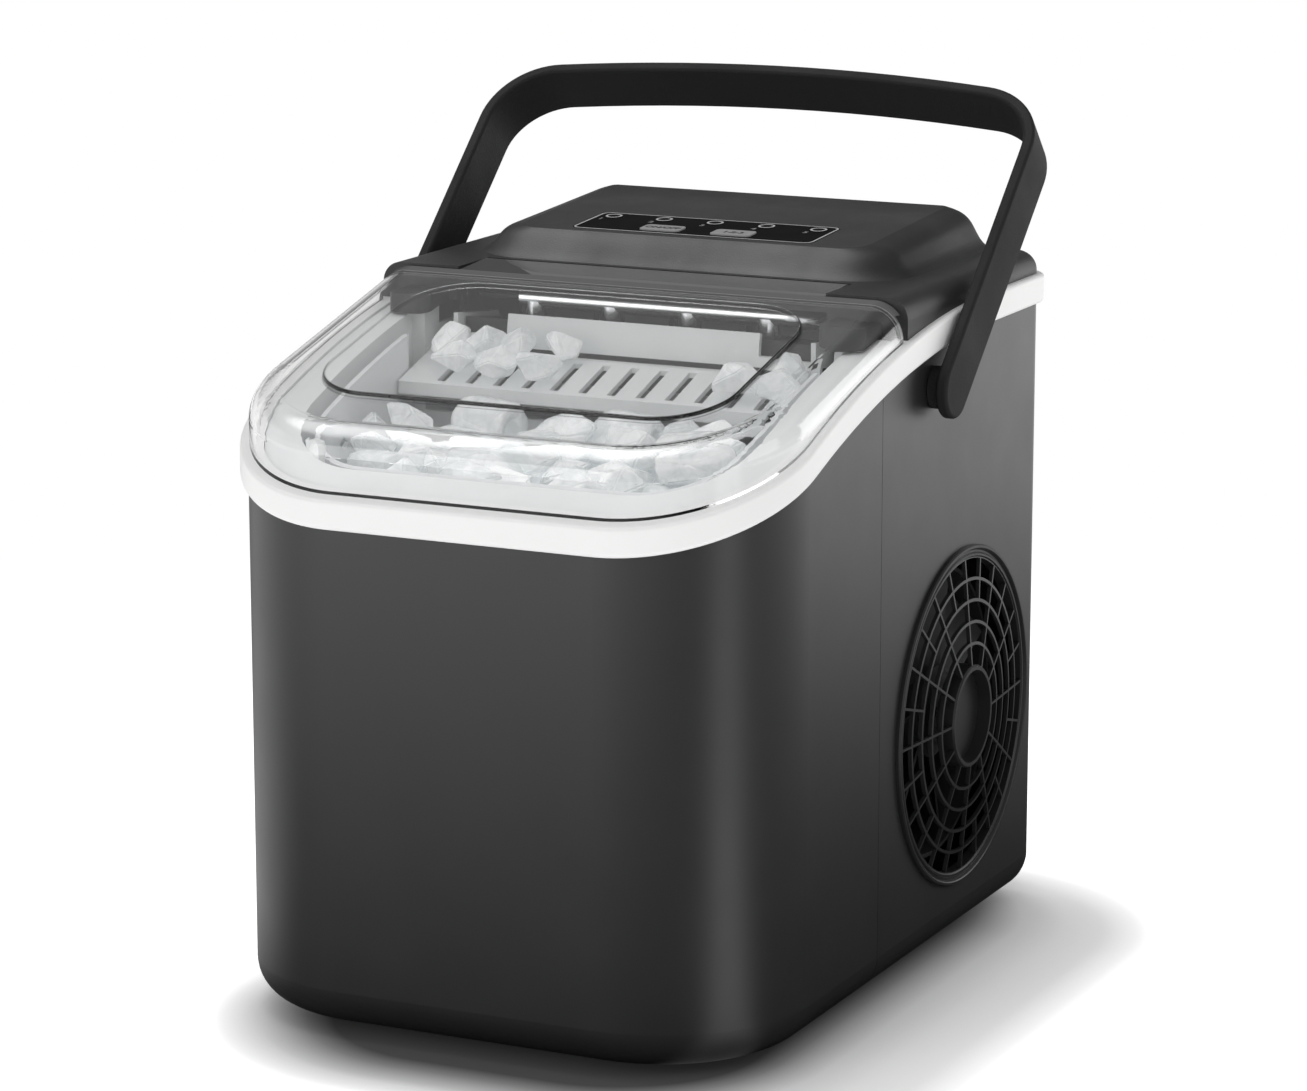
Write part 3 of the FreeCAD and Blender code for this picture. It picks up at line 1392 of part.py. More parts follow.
# ================================================================ ice making mechanism
def evaporator():
    """Chilled tube in two runs, with the fingers that the ice freezes on."""
    r = evaporator_tube_r
    z = evaporator_z
    turn = (rear_row_y - front_row_y) / 2
    bend_x = 2 * finger_pitch - 8
    front_run = x_cylinder(r, -front_run_half, bend_x, front_row_y, z)
    rear_run = x_cylinder(r, -rear_run_half, bend_x, rear_row_y, z)
    arc = Part.Arc(V(bend_x, front_row_y, z), V(bend_x + turn, front_row_y + turn, z),
                   V(bend_x, rear_row_y, z)).toShape()
    profile = Part.Wire(Part.makeCircle(r, V(bend_x, front_row_y, z), X_AXIS))
    shapes = [front_run, rear_run, Part.Wire([arc]).makePipeShell([profile], True, False)]
    for x, y in finger_places():
        tip = -finger_length
        finger = [V(0, 0, tip), V(finger_r - 2, 0, tip), V(finger_r - 0.6, 0, tip + 0.7),
                  V(finger_r, 0, tip + 2.2), V(finger_r, 0, 0), V(0, 0, 0)]
        shapes.append(revolved(finger, V(x, y, z - 1.0), Z_AXIS))
    return shapes[0].multiFuse(shapes[1:]).removeSplitter()


def finger_places():
    front = [((i - 1.5) * finger_pitch, front_row_y) for i in range(4)]
    rear = [((i - 2) * finger_pitch, rear_row_y) for i in range(5)]
    return front + rear


def mechanism_frame():
    """Two black side plates joined by a rear web; they carry the evaporator, tray and shovel."""
    top = frame_top_z
    outer_x = frame_inner_x + frame_wall
    front_y, rear_y = tray_front_y + 5, tray_axis_y + 8
    side = plate([(front_y + 7, top), (front_y, shovel_axis_z + 3), (front_y + 11, shovel_axis_z - 10),
                  (rear_y, tray_axis_z - 10), (rear_y + 2, top)], frame_inner_x, outer_x)
    for y, z in ((tray_axis_y, tray_axis_z), (shovel_axis_y, shovel_axis_z)):
        side = side.cut(x_cylinder(tray_pin_r + running_gap, frame_inner_x - 5, outer_x + 5, y, z))
    tube_rear = rear_row_y + evaporator_tube_r
    web_y = tube_rear + 5
    web = box(-frame_inner_x - 0.1, frame_inner_x + 0.1, web_y, rear_y + 2, top - frame_wall, top)
    hangers = []
    for k in (-1.5, -0.5, 0.5, 1.5):
        x = k * finger_pitch
        hangers.append(box(x - 4, x + 4, tube_rear, web_y + 1, top - frame_wall, top))
        hangers.append(box(x - 4, x + 4, tube_rear, tube_rear + 2, evaporator_z - 3, top))
    return fuse_all([side, mirrored(side), web] + hangers)


def water_tray():
    """Tub that the fingers dip into; it tips forward and down about pins at its rear edge."""
    w, t = tray_half_w, tray_wall
    y0, y1, z0, z1 = tray_front_y, tray_rear_y, tray_floor_z, tray_top_z
    outer = plate([(y0, z1), (y0, z0 + 4), (y0 + 5, z0), (y1 - 4, z0), (y1, z0 + 4), (y1, z1 - 8)], -w, w)
    inner = plate([(y0 + t, z1 + 9), (y0 + t, z0 + 4.6), (y0 + 5 + t * 0.4, z0 + t), (y1 - 4.6, z0 + t),
                   (y1 - t, z0 + 4.6), (y1 - t, z1 + 9)], -w + t, w - t)
    y, z = tray_axis_y, tray_axis_z
    lug = plate([(y1 - 10, z + 4), (y + 2, z + 5), (y + 5, z), (y + 2, z - 5), (y1 - 10, z - 6)], w - t, w)
    pin = x_cylinder(tray_pin_r, w - 0.1, frame_inner_x + frame_wall, y, z)
    drive = x_cylinder(tray_pin_r, w - 0.1, chamber_half_w + 6, y, z)
    return fuse_all([outer.cut(inner), lug, mirrored(lug), mirrored(pin), drive])


def ice_shovel():
    """Pusher with a curved blade, held by two arms that swing down under the fingers."""
    rest = math.atan2(shovel_rise, shovel_blade_y - shovel_axis_y)
    half = shovel_height / 2 / shovel_r
    w = tray_half_w + 0.9 + shovel_arm_wall

    def arc(r, turns):
        return [V(-w, shovel_axis_y + r * math.cos(rest + t * half), shovel_axis_z + r * math.sin(rest + t * half))
                for t in turns]
    inner = arc(shovel_r, (-1, 0, 1))
    outer = arc(shovel_r + shovel_wall, (1, 0, -1))
    edges = [Part.Arc(*inner).toShape(), Part.LineSegment(inner[2], outer[0]).toShape(),
             Part.Arc(*outer).toShape(), Part.LineSegment(outer[2], inner[0]).toShape()]
    blade = Part.Face(Part.Wire(edges)).extrude(V(2 * w, 0, 0))
    bar_top = inner[-1].z + shovel_bar_h
    for x0, x1 in ((-w - 1, -shovel_half_w), (shovel_half_w, w + 1)):
        blade = blade.cut(box(x0, x1, shovel_blade_y - 10, shovel_axis_y, bar_top, far))
    y, z = shovel_axis_y, shovel_axis_z
    tip = shovel_blade_y
    arm = plate([(y, z + 4.5), (tip, z + 8.4), (tip, z + 0.5), (y, z - 4.5)], w - shovel_arm_wall, w)
    arm = arm.fuse(x_cylinder(5.0, w - shovel_arm_wall, w, y, z))
    pin = x_cylinder(tray_pin_r, w - 0.1, frame_inner_x + frame_wall, y, z)
    return fuse_all([blade, arm, mirrored(arm), pin, mirrored(pin)])


def tray_motor():
    """Gear motor outside the chamber's right wall, on the tray's axis."""
    x0 = chamber_half_w
    y, z = tray_axis_y, tray_axis_z
    case = box(x0, x0 + 15, y - 12, y + 24, z - 12, z + 9)
    case = filleted(case, 3, lambda e: near(e.BoundBox.XLength, 15))
    return case.cut(x_cylinder(tray_pin_r + running_gap, x0 - 1, x0 + 6.5, y, z))


# ================================================================ export
def save(name, shape):
    shape.exportStep("parts/%s.step" % name)


def build():
    shell = cabinet_shell()
    nodes = {
        "front_shell": cut_pivot_holes(front_shell(shell)),
        "rear_shell": cut_pivot_holes(rear_shell(shell)),
        "base_pan": base_pan(),
        "feet": feet(),
        "base_screws": base_screws(),
        "trim_band": trim_band(),
        "top_cover": cut_panel_openings(top_cover()),
        "panel_label": panel_label(),
        "led_lenses": led_lenses(),
        "power_button": button(0),
        "select_button": button(1),
        "control_board": control_board(),
        "board_screws": board_screws(),
        "lid": lid(),
        "lid_pins": lid_pins(),
        "handle": handle(),
        "handle_pivots": handle_pivots(),
        "pivot_bushings": pivot_bushings(),
        "fan_grille": fan_grille(),
        "fan": fan(),
        "fan_shaft": fan_shaft(),
        "fan_motor": fan_motor(),
        "fan_shroud": fan_shroud(),
        "condenser": condenser(),
        "compressor": compressor(),
        "compressor_grommets": compressor_grommets(),
        "compressor_bolts": compressor_bolts(),
        "terminal_cover": terminal_cover(),
        "discharge_pipe": discharge_pipe(),
        "liquid_pipe": liquid_pipe(),
        "filter_drier": filter_drier(),
        "capillary_tube": capillary_tube(),
        "suction_pipe": suction_pipe(),
        "hot_gas_pipes": hot_gas_pipes(),
        "hot_gas_valve": hot_gas_valve(),
        "water_pump": water_pump(),
        "pump_inlet_tube": pump_inlet_tube(),
        "water_feed_tube": water_feed_tube(),
        "power_board": power_board(),
        "cord_gland": cord_gland(),
        "tank_insulation": tank_insulation(),
        "drain_plug": drain_plug(),
        "inner_tank": inner_tank(),
        "ice_basket": ice_basket(),
        "ice_chute": ice_chute(),
        "ice_sensor": ice_sensor(),
        "evaporator": evaporator(),
        "mechanism_frame": mechanism_frame(),
        "water_tray": water_tray(),
        "ice_shovel": ice_shovel(),
        "tray_motor": tray_motor(),
    }
    return nodes


if __name__ == "__main__":
    os.makedirs("parts", exist_ok=True)
    for name, shape in build().items():
        save(name, shape)
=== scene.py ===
"""Looks of the countertop ice maker: materials, ice, panel print, studio and camera.

Everything is in metres in the CAD frame: as seen from the front, x points right, y back and z up.
"""
import math
import random

import bmesh
import bpy
from mathutils import Euler, Matrix, Vector

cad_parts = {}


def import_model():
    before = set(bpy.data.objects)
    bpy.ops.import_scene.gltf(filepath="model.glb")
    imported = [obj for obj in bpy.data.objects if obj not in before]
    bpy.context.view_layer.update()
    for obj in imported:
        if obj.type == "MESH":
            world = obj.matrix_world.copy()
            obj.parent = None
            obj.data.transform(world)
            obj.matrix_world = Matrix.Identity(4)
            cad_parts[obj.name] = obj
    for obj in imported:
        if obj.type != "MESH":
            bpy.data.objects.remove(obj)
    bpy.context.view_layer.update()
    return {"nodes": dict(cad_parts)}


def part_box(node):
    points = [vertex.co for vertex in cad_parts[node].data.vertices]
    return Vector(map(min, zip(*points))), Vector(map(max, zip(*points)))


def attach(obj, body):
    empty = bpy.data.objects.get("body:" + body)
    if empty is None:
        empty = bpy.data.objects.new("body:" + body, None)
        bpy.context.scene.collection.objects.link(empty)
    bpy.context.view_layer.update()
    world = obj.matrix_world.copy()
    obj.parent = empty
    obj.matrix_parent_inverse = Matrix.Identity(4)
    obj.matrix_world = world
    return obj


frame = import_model()
NODES = frame["nodes"]


def add_object(name, data):
    obj = bpy.data.objects.new(name, data)
    bpy.context.collection.objects.link(obj)
    return obj


def box_of(node_name):
    """A CAD node's lowest and highest corners at rest."""
    return [Vector(corner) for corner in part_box(node_name)]


# ------------------------------------------------------------------ node helpers
ANY_HEIGHT = 10.0  # an outline's half height, past every surface
MIX_A, MIX_B, MIX_RESULT = 6, 7, 2  # places of a Mix node's colour sockets


def new_material(name):
    mat = bpy.data.materials.new(name)
    mat.use_nodes = True
    return mat, mat.node_tree, mat.node_tree.nodes["Principled BSDF"]


def node(tree, kind, **values):
    made = tree.nodes.new(kind)
    for key, value in values.items():
        if key in made.inputs:
            made.inputs[key].default_value = value
        else:
            setattr(made, key, value)
    return made


def position(tree):
    return node(tree, "ShaderNodeTexCoord").outputs["Object"]


def noise(tree, vector, scale, detail=3.0, rough=0.55):
    made = node(tree, "ShaderNodeTexNoise", Scale=scale, Detail=detail, Roughness=rough)
    tree.links.new(vector, made.inputs["Vector"])
    return made.outputs["Fac"]


def ramp(tree, fac, stops):
    """Colour or grey level by fac, from pairs of a place and a level."""
    made = node(tree, "ShaderNodeValToRGB")
    elements = made.color_ramp.elements
    while len(elements) < len(stops):
        elements.new(0.5)
    for element, (place, colour) in zip(elements, stops):
        element.position = place
        if isinstance(colour, (int, float)):
            colour = (colour, colour, colour)
        element.color = (*colour, 1.0)
    tree.links.new(fac, made.inputs["Fac"])
    return made.outputs["Color"]


def connect(tree, made, values):
    """Links the outputs among the values to a node's inputs, and sets the plain ones."""
    for socket, value in zip(made.inputs, values):
        if isinstance(value, bpy.types.NodeSocket):
            tree.links.new(value, socket)
        else:
            socket.default_value = value


def math_node(tree, operation, *values):
    made = node(tree, "ShaderNodeMath", operation=operation)
    connect(tree, made, values)
    return made.outputs[0]


def vector_math(tree, operation, *values):
    made = node(tree, "ShaderNodeVectorMath", operation=operation)
    connect(tree, made, values)
    return made.outputs["Value" if operation in ("LENGTH", "DOT_PRODUCT") else "Vector"]


def mix_shaders(tree, fac, first, second):
    made = node(tree, "ShaderNodeMixShader")
    connect(tree, made, (fac, first, second))
    return made.outputs["Shader"]


def outline_distance(tree, vector, centre, half_w, half_d, corner):
    """Distance in plan from a rounded rectangle's outline, below zero inside it."""
    size = vector_math(tree, "ABSOLUTE", vector_math(tree, "SUBTRACT", vector, centre))
    past = vector_math(tree, "SUBTRACT", size, (half_w - corner, half_d - corner, ANY_HEIGHT))
    length = vector_math(tree, "LENGTH", vector_math(tree, "MAXIMUM", past, (0.0, 0.0, 0.0)))
    return math_node(tree, "SUBTRACT", length, corner)


def bump(tree, shader, height, strength, distance):
    made = node(tree, "ShaderNodeBump", Strength=strength, Distance=distance)
    tree.links.new(height, made.inputs["Height"])
    tree.links.new(made.outputs["Normal"], shader.inputs["Normal"])


def tint(colour, factor):
    return tuple(min(1.0, c * factor) for c in colour)


# ------------------------------------------------------------------ kinds of material
# Noise scales: about so many features in a metre
MOTTLE_SCALE = 14.0
SMEAR_SCALE = 35.0
STAIN_SCALE = 40.0
CLEAR_SMEAR_SCALE = 60.0
ICE_CLOUD_SCALE = 70.0
ICE_CRACK_SCALE = 120.0
ICE_FROST_SCALE = 210.0
BOARD_SMEAR_SCALE = 90.0
BOARD_TRACK_SCALE = 160.0
FOAM_CELL_SCALE = 260.0

CLEAR_IOR = 1.49
ICE_IOR = 1.31
BASKET_COLOUR = (0.965, 0.975, 0.98)
BASKET_CLEAR = 0.25

# The share of the lamps' light that each clear piece lets through to what it covers
BASKET_PASSES = tuple(0.98 * c for c in BASKET_COLOUR)
LID_PASSES = (0.96, 0.965, 0.97)
ICE_PASSES = (0.93, 0.95, 0.955)

# The raised window's outline on the lid, and how far the painted shade line along it reaches each
# way
WINDOW_HALF_W = 0.0835
WINDOW_FRONT = -0.1145
WINDOW_REAR = -0.011
WINDOW_CORNER = 0.027
PAINTED_LINE_REACH = 0.002
HINGE_SPAN = 0.01  # depth, centred on the hinge line, that the ramps of the painted shade at the hinge lip cover


def moulded(name, colour, rough=0.4, spread=0.05, grain=1400.0, depth=0.00004, strength=0.25,
            mottle=0.06, specular=0.5, coat=0.0):
    """Moulded plastic or paint: faint mottling, a fine grain and roughness that wanders."""
    mat, tree, shader = new_material(name)
    at = position(tree)
    cloud = noise(tree, at, MOTTLE_SCALE, 4.0)
    low, high = tint(colour, 1.0 - mottle), tint(colour, 1.0 + mottle)
    tree.links.new(ramp(tree, cloud, [(0.3, low), (0.7, high)]), shader.inputs["Base Color"])
    smear = noise(tree, at, SMEAR_SCALE)
    tree.links.new(ramp(tree, smear, [(0.3, rough - spread), (0.7, rough + spread)]),
                   shader.inputs["Roughness"])
    bump(tree, shader, noise(tree, at, grain, 2.0, 0.6), strength, depth)
    shader.inputs["Specular IOR Level"].default_value = specular
    if coat:
        shader.inputs["Coat Weight"].default_value = coat
        shader.inputs["Coat Roughness"].default_value = 0.08
    return mat


def metal(name, colour, rough=0.25, spread=0.08, brushed=400.0, mottle=0.08):
    """Bare metal: faint stains, and fine wear in both gloss and relief."""
    mat, tree, shader = new_material(name)
    at = position(tree)
    wear = noise(tree, at, brushed)
    stain = noise(tree, at, STAIN_SCALE, 4.0)
    low, high = tint(colour, 1 - mottle), tint(colour, 1 + mottle)
    tree.links.new(ramp(tree, stain, [(0.3, low), (0.7, high)]), shader.inputs["Base Color"])
    tree.links.new(ramp(tree, wear, [(0.25, rough - spread), (0.75, rough + spread)]),
                   shader.inputs["Roughness"])
    shader.inputs["Metallic"].default_value = 1.0
    bump(tree, shader, wear, 0.12, 0.00005)
    return mat


def let_lamps_through(tree, shader, colour):
    """Shadow rays pass a clear wall, so that what it covers is lit."""
    path = node(tree, "ShaderNodeLightPath")
    open_side = node(tree, "ShaderNodeBsdfTransparent", Color=(*colour, 1.0))
    mixed = mix_shaders(tree, path.outputs["Is Shadow Ray"], shader.outputs["BSDF"],
                        open_side.outputs["BSDF"])
    tree.links.new(mixed, tree.nodes["Material Output"].inputs["Surface"])


def clear_plastic(name, rough):
    """What the clear parts share: the bend of acrylic and a smeared gloss."""
    mat, tree, shader = new_material(name)
    at = position(tree)
    smear = noise(tree, at, CLEAR_SMEAR_SCALE)
    tree.links.new(ramp(tree, smear, [(0.35, rough), (0.75, rough + 0.025)]),
                   shader.inputs["Roughness"])
    shader.inputs["IOR"].default_value = CLEAR_IOR
    return mat, tree, shader, at


def clear_basket():
    """Milky basket that lets a quarter of the light through."""
    mat, tree, shader, _ = clear_plastic("clear_basket", 0.16)
    shader.inputs["Base Color"].default_value = (*BASKET_COLOUR, 1.0)
    shader.inputs["Transmission Weight"].default_value = BASKET_CLEAR
    let_lamps_through(tree, shader, BASKET_PASSES)
    return mat


def clear_lid():
    """Clear lid: a painted shade line along the window's moulded edge, and painted shade at the
    hinge lip, which is also made opaque.
    """
    mat, tree, shader, at = clear_plastic("clear_lid", 0.01)
    middle = (0.0, (WINDOW_FRONT + WINDOW_REAR) / 2, 0.0)
    half_d = (WINDOW_REAR - WINDOW_FRONT) / 2
    # Painted shade: the lid's colour darkens in a thin line along the window's moulded edge.
    away = outline_distance(tree, at, middle, WINDOW_HALF_W, half_d, WINDOW_CORNER)
    away = math_node(tree, "DIVIDE", math_node(tree, "ABSOLUTE", away), PAINTED_LINE_REACH)
    painted_edge_shade = ramp(tree, away, [(0.15, 0.35), (0.4, 1.0)])
    depth = node(tree, "ShaderNodeSeparateXYZ")
    tree.links.new(at, depth.inputs[0])
    # Painted shade: the lid darkens and turns opaque at the hinge lip.
    near_hinge = math_node(tree, "MULTIPLY_ADD", depth.outputs["Y"], 1.0 / HINGE_SPAN, 0.5)
    painted_hinge_shade = ramp(tree, near_hinge, [(0.2, 1.0), (0.27, 0.12)])
    passing = ramp(tree, near_hinge, [(0.2, 1.0), (0.27, 0.0)])
    tree.links.new(math_node(tree, "MULTIPLY", painted_edge_shade, painted_hinge_shade), shader.inputs["Base Color"])
    tree.links.new(passing, shader.inputs["Transmission Weight"])
    shader.inputs["Specular IOR Level"].default_value = 0.3
    let_lamps_through(tree, shader, LID_PASSES)
    return mat


def cloudy_ice():
    """Cloudy ice: white cores that fade into clear, wet ice with fine cracks."""
    mat, tree, shader = new_material("clear_ice")
    at = position(tree)
    cloud = noise(tree, at, ICE_CLOUD_SCALE)
    colour = ramp(tree, cloud, [(0.3, (0.955, 0.98, 0.985)), (0.6, (0.99, 0.993, 0.995))])
    tree.links.new(colour, shader.inputs["Base Color"])
    tree.links.new(ramp(tree, cloud, [(0.3, 0.04), (0.7, 0.22)]), shader.inputs["Roughness"])
    tree.links.new(ramp(tree, cloud, [(0.4, 0.4), (0.6, 0.03)]),
                   shader.inputs["Transmission Weight"])
    shader.inputs["IOR"].default_value = ICE_IOR
    shader.inputs["Specular IOR Level"].default_value = 0.7
    cracks = node(tree, "ShaderNodeTexVoronoi", Scale=ICE_CRACK_SCALE, feature="DISTANCE_TO_EDGE")
    tree.links.new(at, cracks.inputs["Vector"])
    both = node(tree, "ShaderNodeMix", data_type="RGBA")
    both.inputs["Factor"].default_value = 0.6
    tree.links.new(ramp(tree, cracks.outputs["Distance"], [(0.0, 0.0), (0.08, 1.0)]),
                   both.inputs[MIX_A])
    tree.links.new(noise(tree, at, ICE_FROST_SCALE, 4.0), both.inputs[MIX_B])
    bump(tree, shader, both.outputs[MIX_RESULT], 0.45, 0.0007)
    let_lamps_through(tree, shader, ICE_PASSES)
    return mat


def board(name):
    """Green circuit board: solder mask over faint tracks."""
    mat, tree, shader = new_material(name)
    at = position(tree)
    tracks = node(tree, "ShaderNodeTexBrick", Scale=BOARD_TRACK_SCALE)
    tracks.inputs["Color1"].default_value = (0.012, 0.11, 0.045, 1)
    tracks.inputs["Color2"].default_value = (0.016, 0.14, 0.055, 1)
    tracks.inputs["Mortar"].default_value = (0.03, 0.21, 0.09, 1)
    tracks.inputs["Mortar Size"].default_value = 0.03
    tree.links.new(at, tracks.inputs["Vector"])
    tree.links.new(tracks.outputs["Color"], shader.inputs["Base Color"])
    smear = noise(tree, at, BOARD_SMEAR_SCALE, 2.0)
    tree.links.new(ramp(tree, smear, [(0.3, 0.3), (0.7, 0.42)]), shader.inputs["Roughness"])
    bump(tree, shader, tracks.outputs["Fac"], 0.2, 0.00005)
    return mat


def foam(name):
    """Moulded bead foam: white cells with darker seams between them."""
    mat, tree, shader = new_material(name)
    cells = node(tree, "ShaderNodeTexVoronoi", Scale=FOAM_CELL_SCALE)
    tree.links.new(position(tree), cells.inputs["Vector"])
    colour = ramp(tree, cells.outputs["Distance"],
                  [(0.2, (0.86, 0.86, 0.84)), (0.75, (0.7, 0.7, 0.68))])
    tree.links.new(colour, shader.inputs["Base Color"])
    shader.inputs["Roughness"].default_value = 0.85
    bump(tree, shader, cells.outputs["Distance"], 0.5, 0.0006)
    return mat


# ------------------------------------------------------------------ materials of the CAD nodes
BLACK = (0.016, 0.016, 0.0165)
MATERIALS = {
    "shell": moulded("satin_black_shell", BLACK, rough=0.38, spread=0.02, grain=1700.0,
                     mottle=0.03, specular=0.8),
    "cover": moulded("grained_black_cover", BLACK, rough=0.46, grain=1500.0, depth=0.00014,
                     strength=0.6),
    "handle": moulded("grained_black_handle", (0.02, 0.02, 0.0205), rough=0.6, grain=1500.0,
                      depth=0.00016, strength=0.7, specular=0.1),
    "band": moulded("satin_white_band", (0.83, 0.83, 0.825), rough=0.42, mottle=0.012,
                    strength=0.12),
    "white": moulded("white_liner", (0.8, 0.81, 0.81), rough=0.35, mottle=0.02, strength=0.12),
    "liner": moulded("bright_white_liner", (0.79, 0.8, 0.8), rough=0.35, mottle=0.02,
                     strength=0.12),
    "black": moulded("plain_black_plastic", (0.014, 0.014, 0.0145), rough=0.5, strength=0.35),
    "grille": moulded("black_grille", (0.015, 0.015, 0.0155), rough=0.38),
    "rubber": moulded("dark_rubber", (0.02, 0.02, 0.02), rough=0.78, spread=0.08, mottle=0.15),
    "silicone": moulded("grey_silicone", (0.45, 0.45, 0.44), rough=0.6, mottle=0.05),
    "label": moulded("dark_panel_film", (0.004, 0.004, 0.0042), rough=0.62, strength=0.1,
                     specular=0.04),
    "button": moulded("grey_button_film", (0.33, 0.33, 0.33), rough=0.45, mottle=0.04,
                      specular=0.25),
    "print": moulded("light_grey_print", (0.5, 0.5, 0.505), rough=0.5, mottle=0.04),
    "dim_print": moulded("dim_grey_print", (0.24, 0.24, 0.243), rough=0.5, mottle=0.04),
    "ink": moulded("black_print", (0.01, 0.01, 0.01), mottle=0.1),
    "lens": moulded("smoked_lens", (0.008, 0.008, 0.009), rough=0.6, mottle=0.08, strength=0.05,
                    specular=0.04),
    "steel": metal("zinc_plated_steel", (0.62, 0.62, 0.6), rough=0.3),
    "chrome": metal("nickel_plated_finger", (0.9, 0.91, 0.92), rough=0.2, spread=0.05,
                    mottle=0.03),
    "aluminium": metal("mill_aluminium", (0.72, 0.73, 0.74), rough=0.34, brushed=700.0),
    "copper": metal("drawn_copper", (0.78, 0.36, 0.2), rough=0.24, spread=0.1, mottle=0.18),
    "brass": metal("brass_body", (0.72, 0.52, 0.24), rough=0.3, mottle=0.1),
    "paint": moulded("black_enamel", (0.012, 0.012, 0.013), rough=0.28, mottle=0.1, coat=0.3),
    "board": board("circuit_board"),
    "foam": foam("bead_foam"),
    "lid": clear_lid(),
    "basket": clear_basket(),
    "ice": cloudy_ice(),
}

FINISH = {
    "front_shell": "shell", "rear_shell": "shell", "base_pan": "black", "feet": "rubber",
    "base_screws": "steel", "trim_band": "band", "top_cover": "cover", "panel_label": "label",
    "led_lenses": "lens", "power_button": "button", "select_button": "button",
    "control_board": "board", "board_screws": "steel", "lid": "lid", "lid_pins": "steel",
    "handle": "handle", "handle_pivots": "handle", "pivot_bushings": "black",
    "fan_grille": "grille", "fan": "black", "fan_shaft": "steel", "fan_motor": "paint",
    "fan_shroud": "black", "condenser": "aluminium", "compressor": "paint",
    "compressor_grommets": "rubber", "compressor_bolts": "steel", "terminal_cover": "black",
    "discharge_pipe": "copper", "liquid_pipe": "copper", "filter_drier": "copper",
    "capillary_tube": "black", "suction_pipe": "copper", "hot_gas_pipes": "copper",
    "hot_gas_valve": "brass", "water_pump": "white", "pump_inlet_tube": "silicone",
    "water_feed_tube": "silicone", "power_board": "board", "cord_gland": "rubber",
    "tank_insulation": "foam", "drain_plug": "silicone", "inner_tank": "liner",
    "ice_basket": "basket", "ice_chute": "liner", "ice_sensor": "white",
    "evaporator": "chrome", "mechanism_frame": "black", "water_tray": "black",
    "ice_shovel": "white", "tray_motor": "paint",
}
for node_name, finish in FINISH.items():
    slots = NODES[node_name].material_slots
    if not slots:
        NODES[node_name].data.materials.append(MATERIALS[finish])
    for held in slots:
        held.material = MATERIALS[finish]

# ------------------------------------------------------------------ ice
ICE_R = 0.0105
ICE_L = 0.027
BULLET_KINDS = 5
SHARD_KINDS = 4
SHARD_SHARE = 0.5
DOME_STEPS = 6
BULLET_SIDES = 18
SHARD_POINTS = 13
MELTED_EDGE = 0.0007

# The basket's inside, in plan
INSET = 0.004
WALL_GAP = 0.0125
BASKET_CORNER = 0.033

# The heap's surface: it rises from the front, dips in the middle and ripples. The dip ends
# DIP_FLAT half widths from its middle.
HEAP_FRONT_Z = 0.2095
HEAP_RISE = 0.03
HEAP_RUN = 0.045
HEAP_LIMIT_Z = 0.235
MIDDLE_DIP = 0.02
DIP_X = 0.012
DIP_HALF_W = 0.02
DIP_FLAT = 1.8
RIPPLE = 0.003
RIPPLE_ACROSS = 55
RIPPLE_ALONG = 40

# What the ice stays under when the basket is lifted: the lid's inside, which rises by LID_RISE
# in a metre from front to back, and the chute's bottom
LID_INSIDE_Z = 0.2338
LID_RISE = 0.252
BASKET_TRAVEL = 0.013
LYING_HALF_HEIGHT = 0.0135
CHUTE_MARGIN = 0.0165

# How the pieces are placed, and which of them lie down: those near the chute or the surface
LAYER_STEP = 0.0105
LAYER_JITTER = 0.003
TRIES_A_LAYER = 900
CLOSEST = ICE_R * 1.32
BY_CHUTE = 0.032
TOP_LAYER = 0.014
ALONG_CHUTE = 0.3  # most turn away from the chute's edge, in radians
NEARLY_FLAT = 0.15  # most tilt of a lying piece, in radians

# The ice on the chute, whose face falls 8.5 mm in 27 mm from its top edge
CHUTE_SLOPE = math.atan2(0.0085, 0.027)
CHUTE_TOP_Y = -0.009
CHUTE_ICE_SCALE = 0.72
CHUTE_ICE_REST = 1.06  # height of a piece's middle over the chute, in its own radii
CHUTE_ICE_PLACES = (  # x, y and turn in degrees
    (-0.07, -0.018, 80), (-0.056, -0.017, 20), (-0.041, -0.018, 95), (-0.063, -0.03, 5),
    (-0.045, -0.03, -12), (-0.027, -0.03, 15), (-0.024, -0.017, 60), (0.056, -0.03, 15),
    (0.071, -0.019, 80), (0.074, -0.031, 10))

ICE_SEED = 7
ice_rng = random.Random(ICE_SEED)
basket_low, basket_high = box_of("ice_basket")
chute_low, chute_high = box_of("ice_chute")


def to_ice_mesh(bm, smooth):
    bmesh.ops.recalc_face_normals(bm, faces=bm.faces)
    mesh = bpy.data.meshes.new("ice_kind")
    bm.to_mesh(mesh)
    bm.free()
    for face in mesh.polygons:
        face.use_smooth = smooth
    return mesh


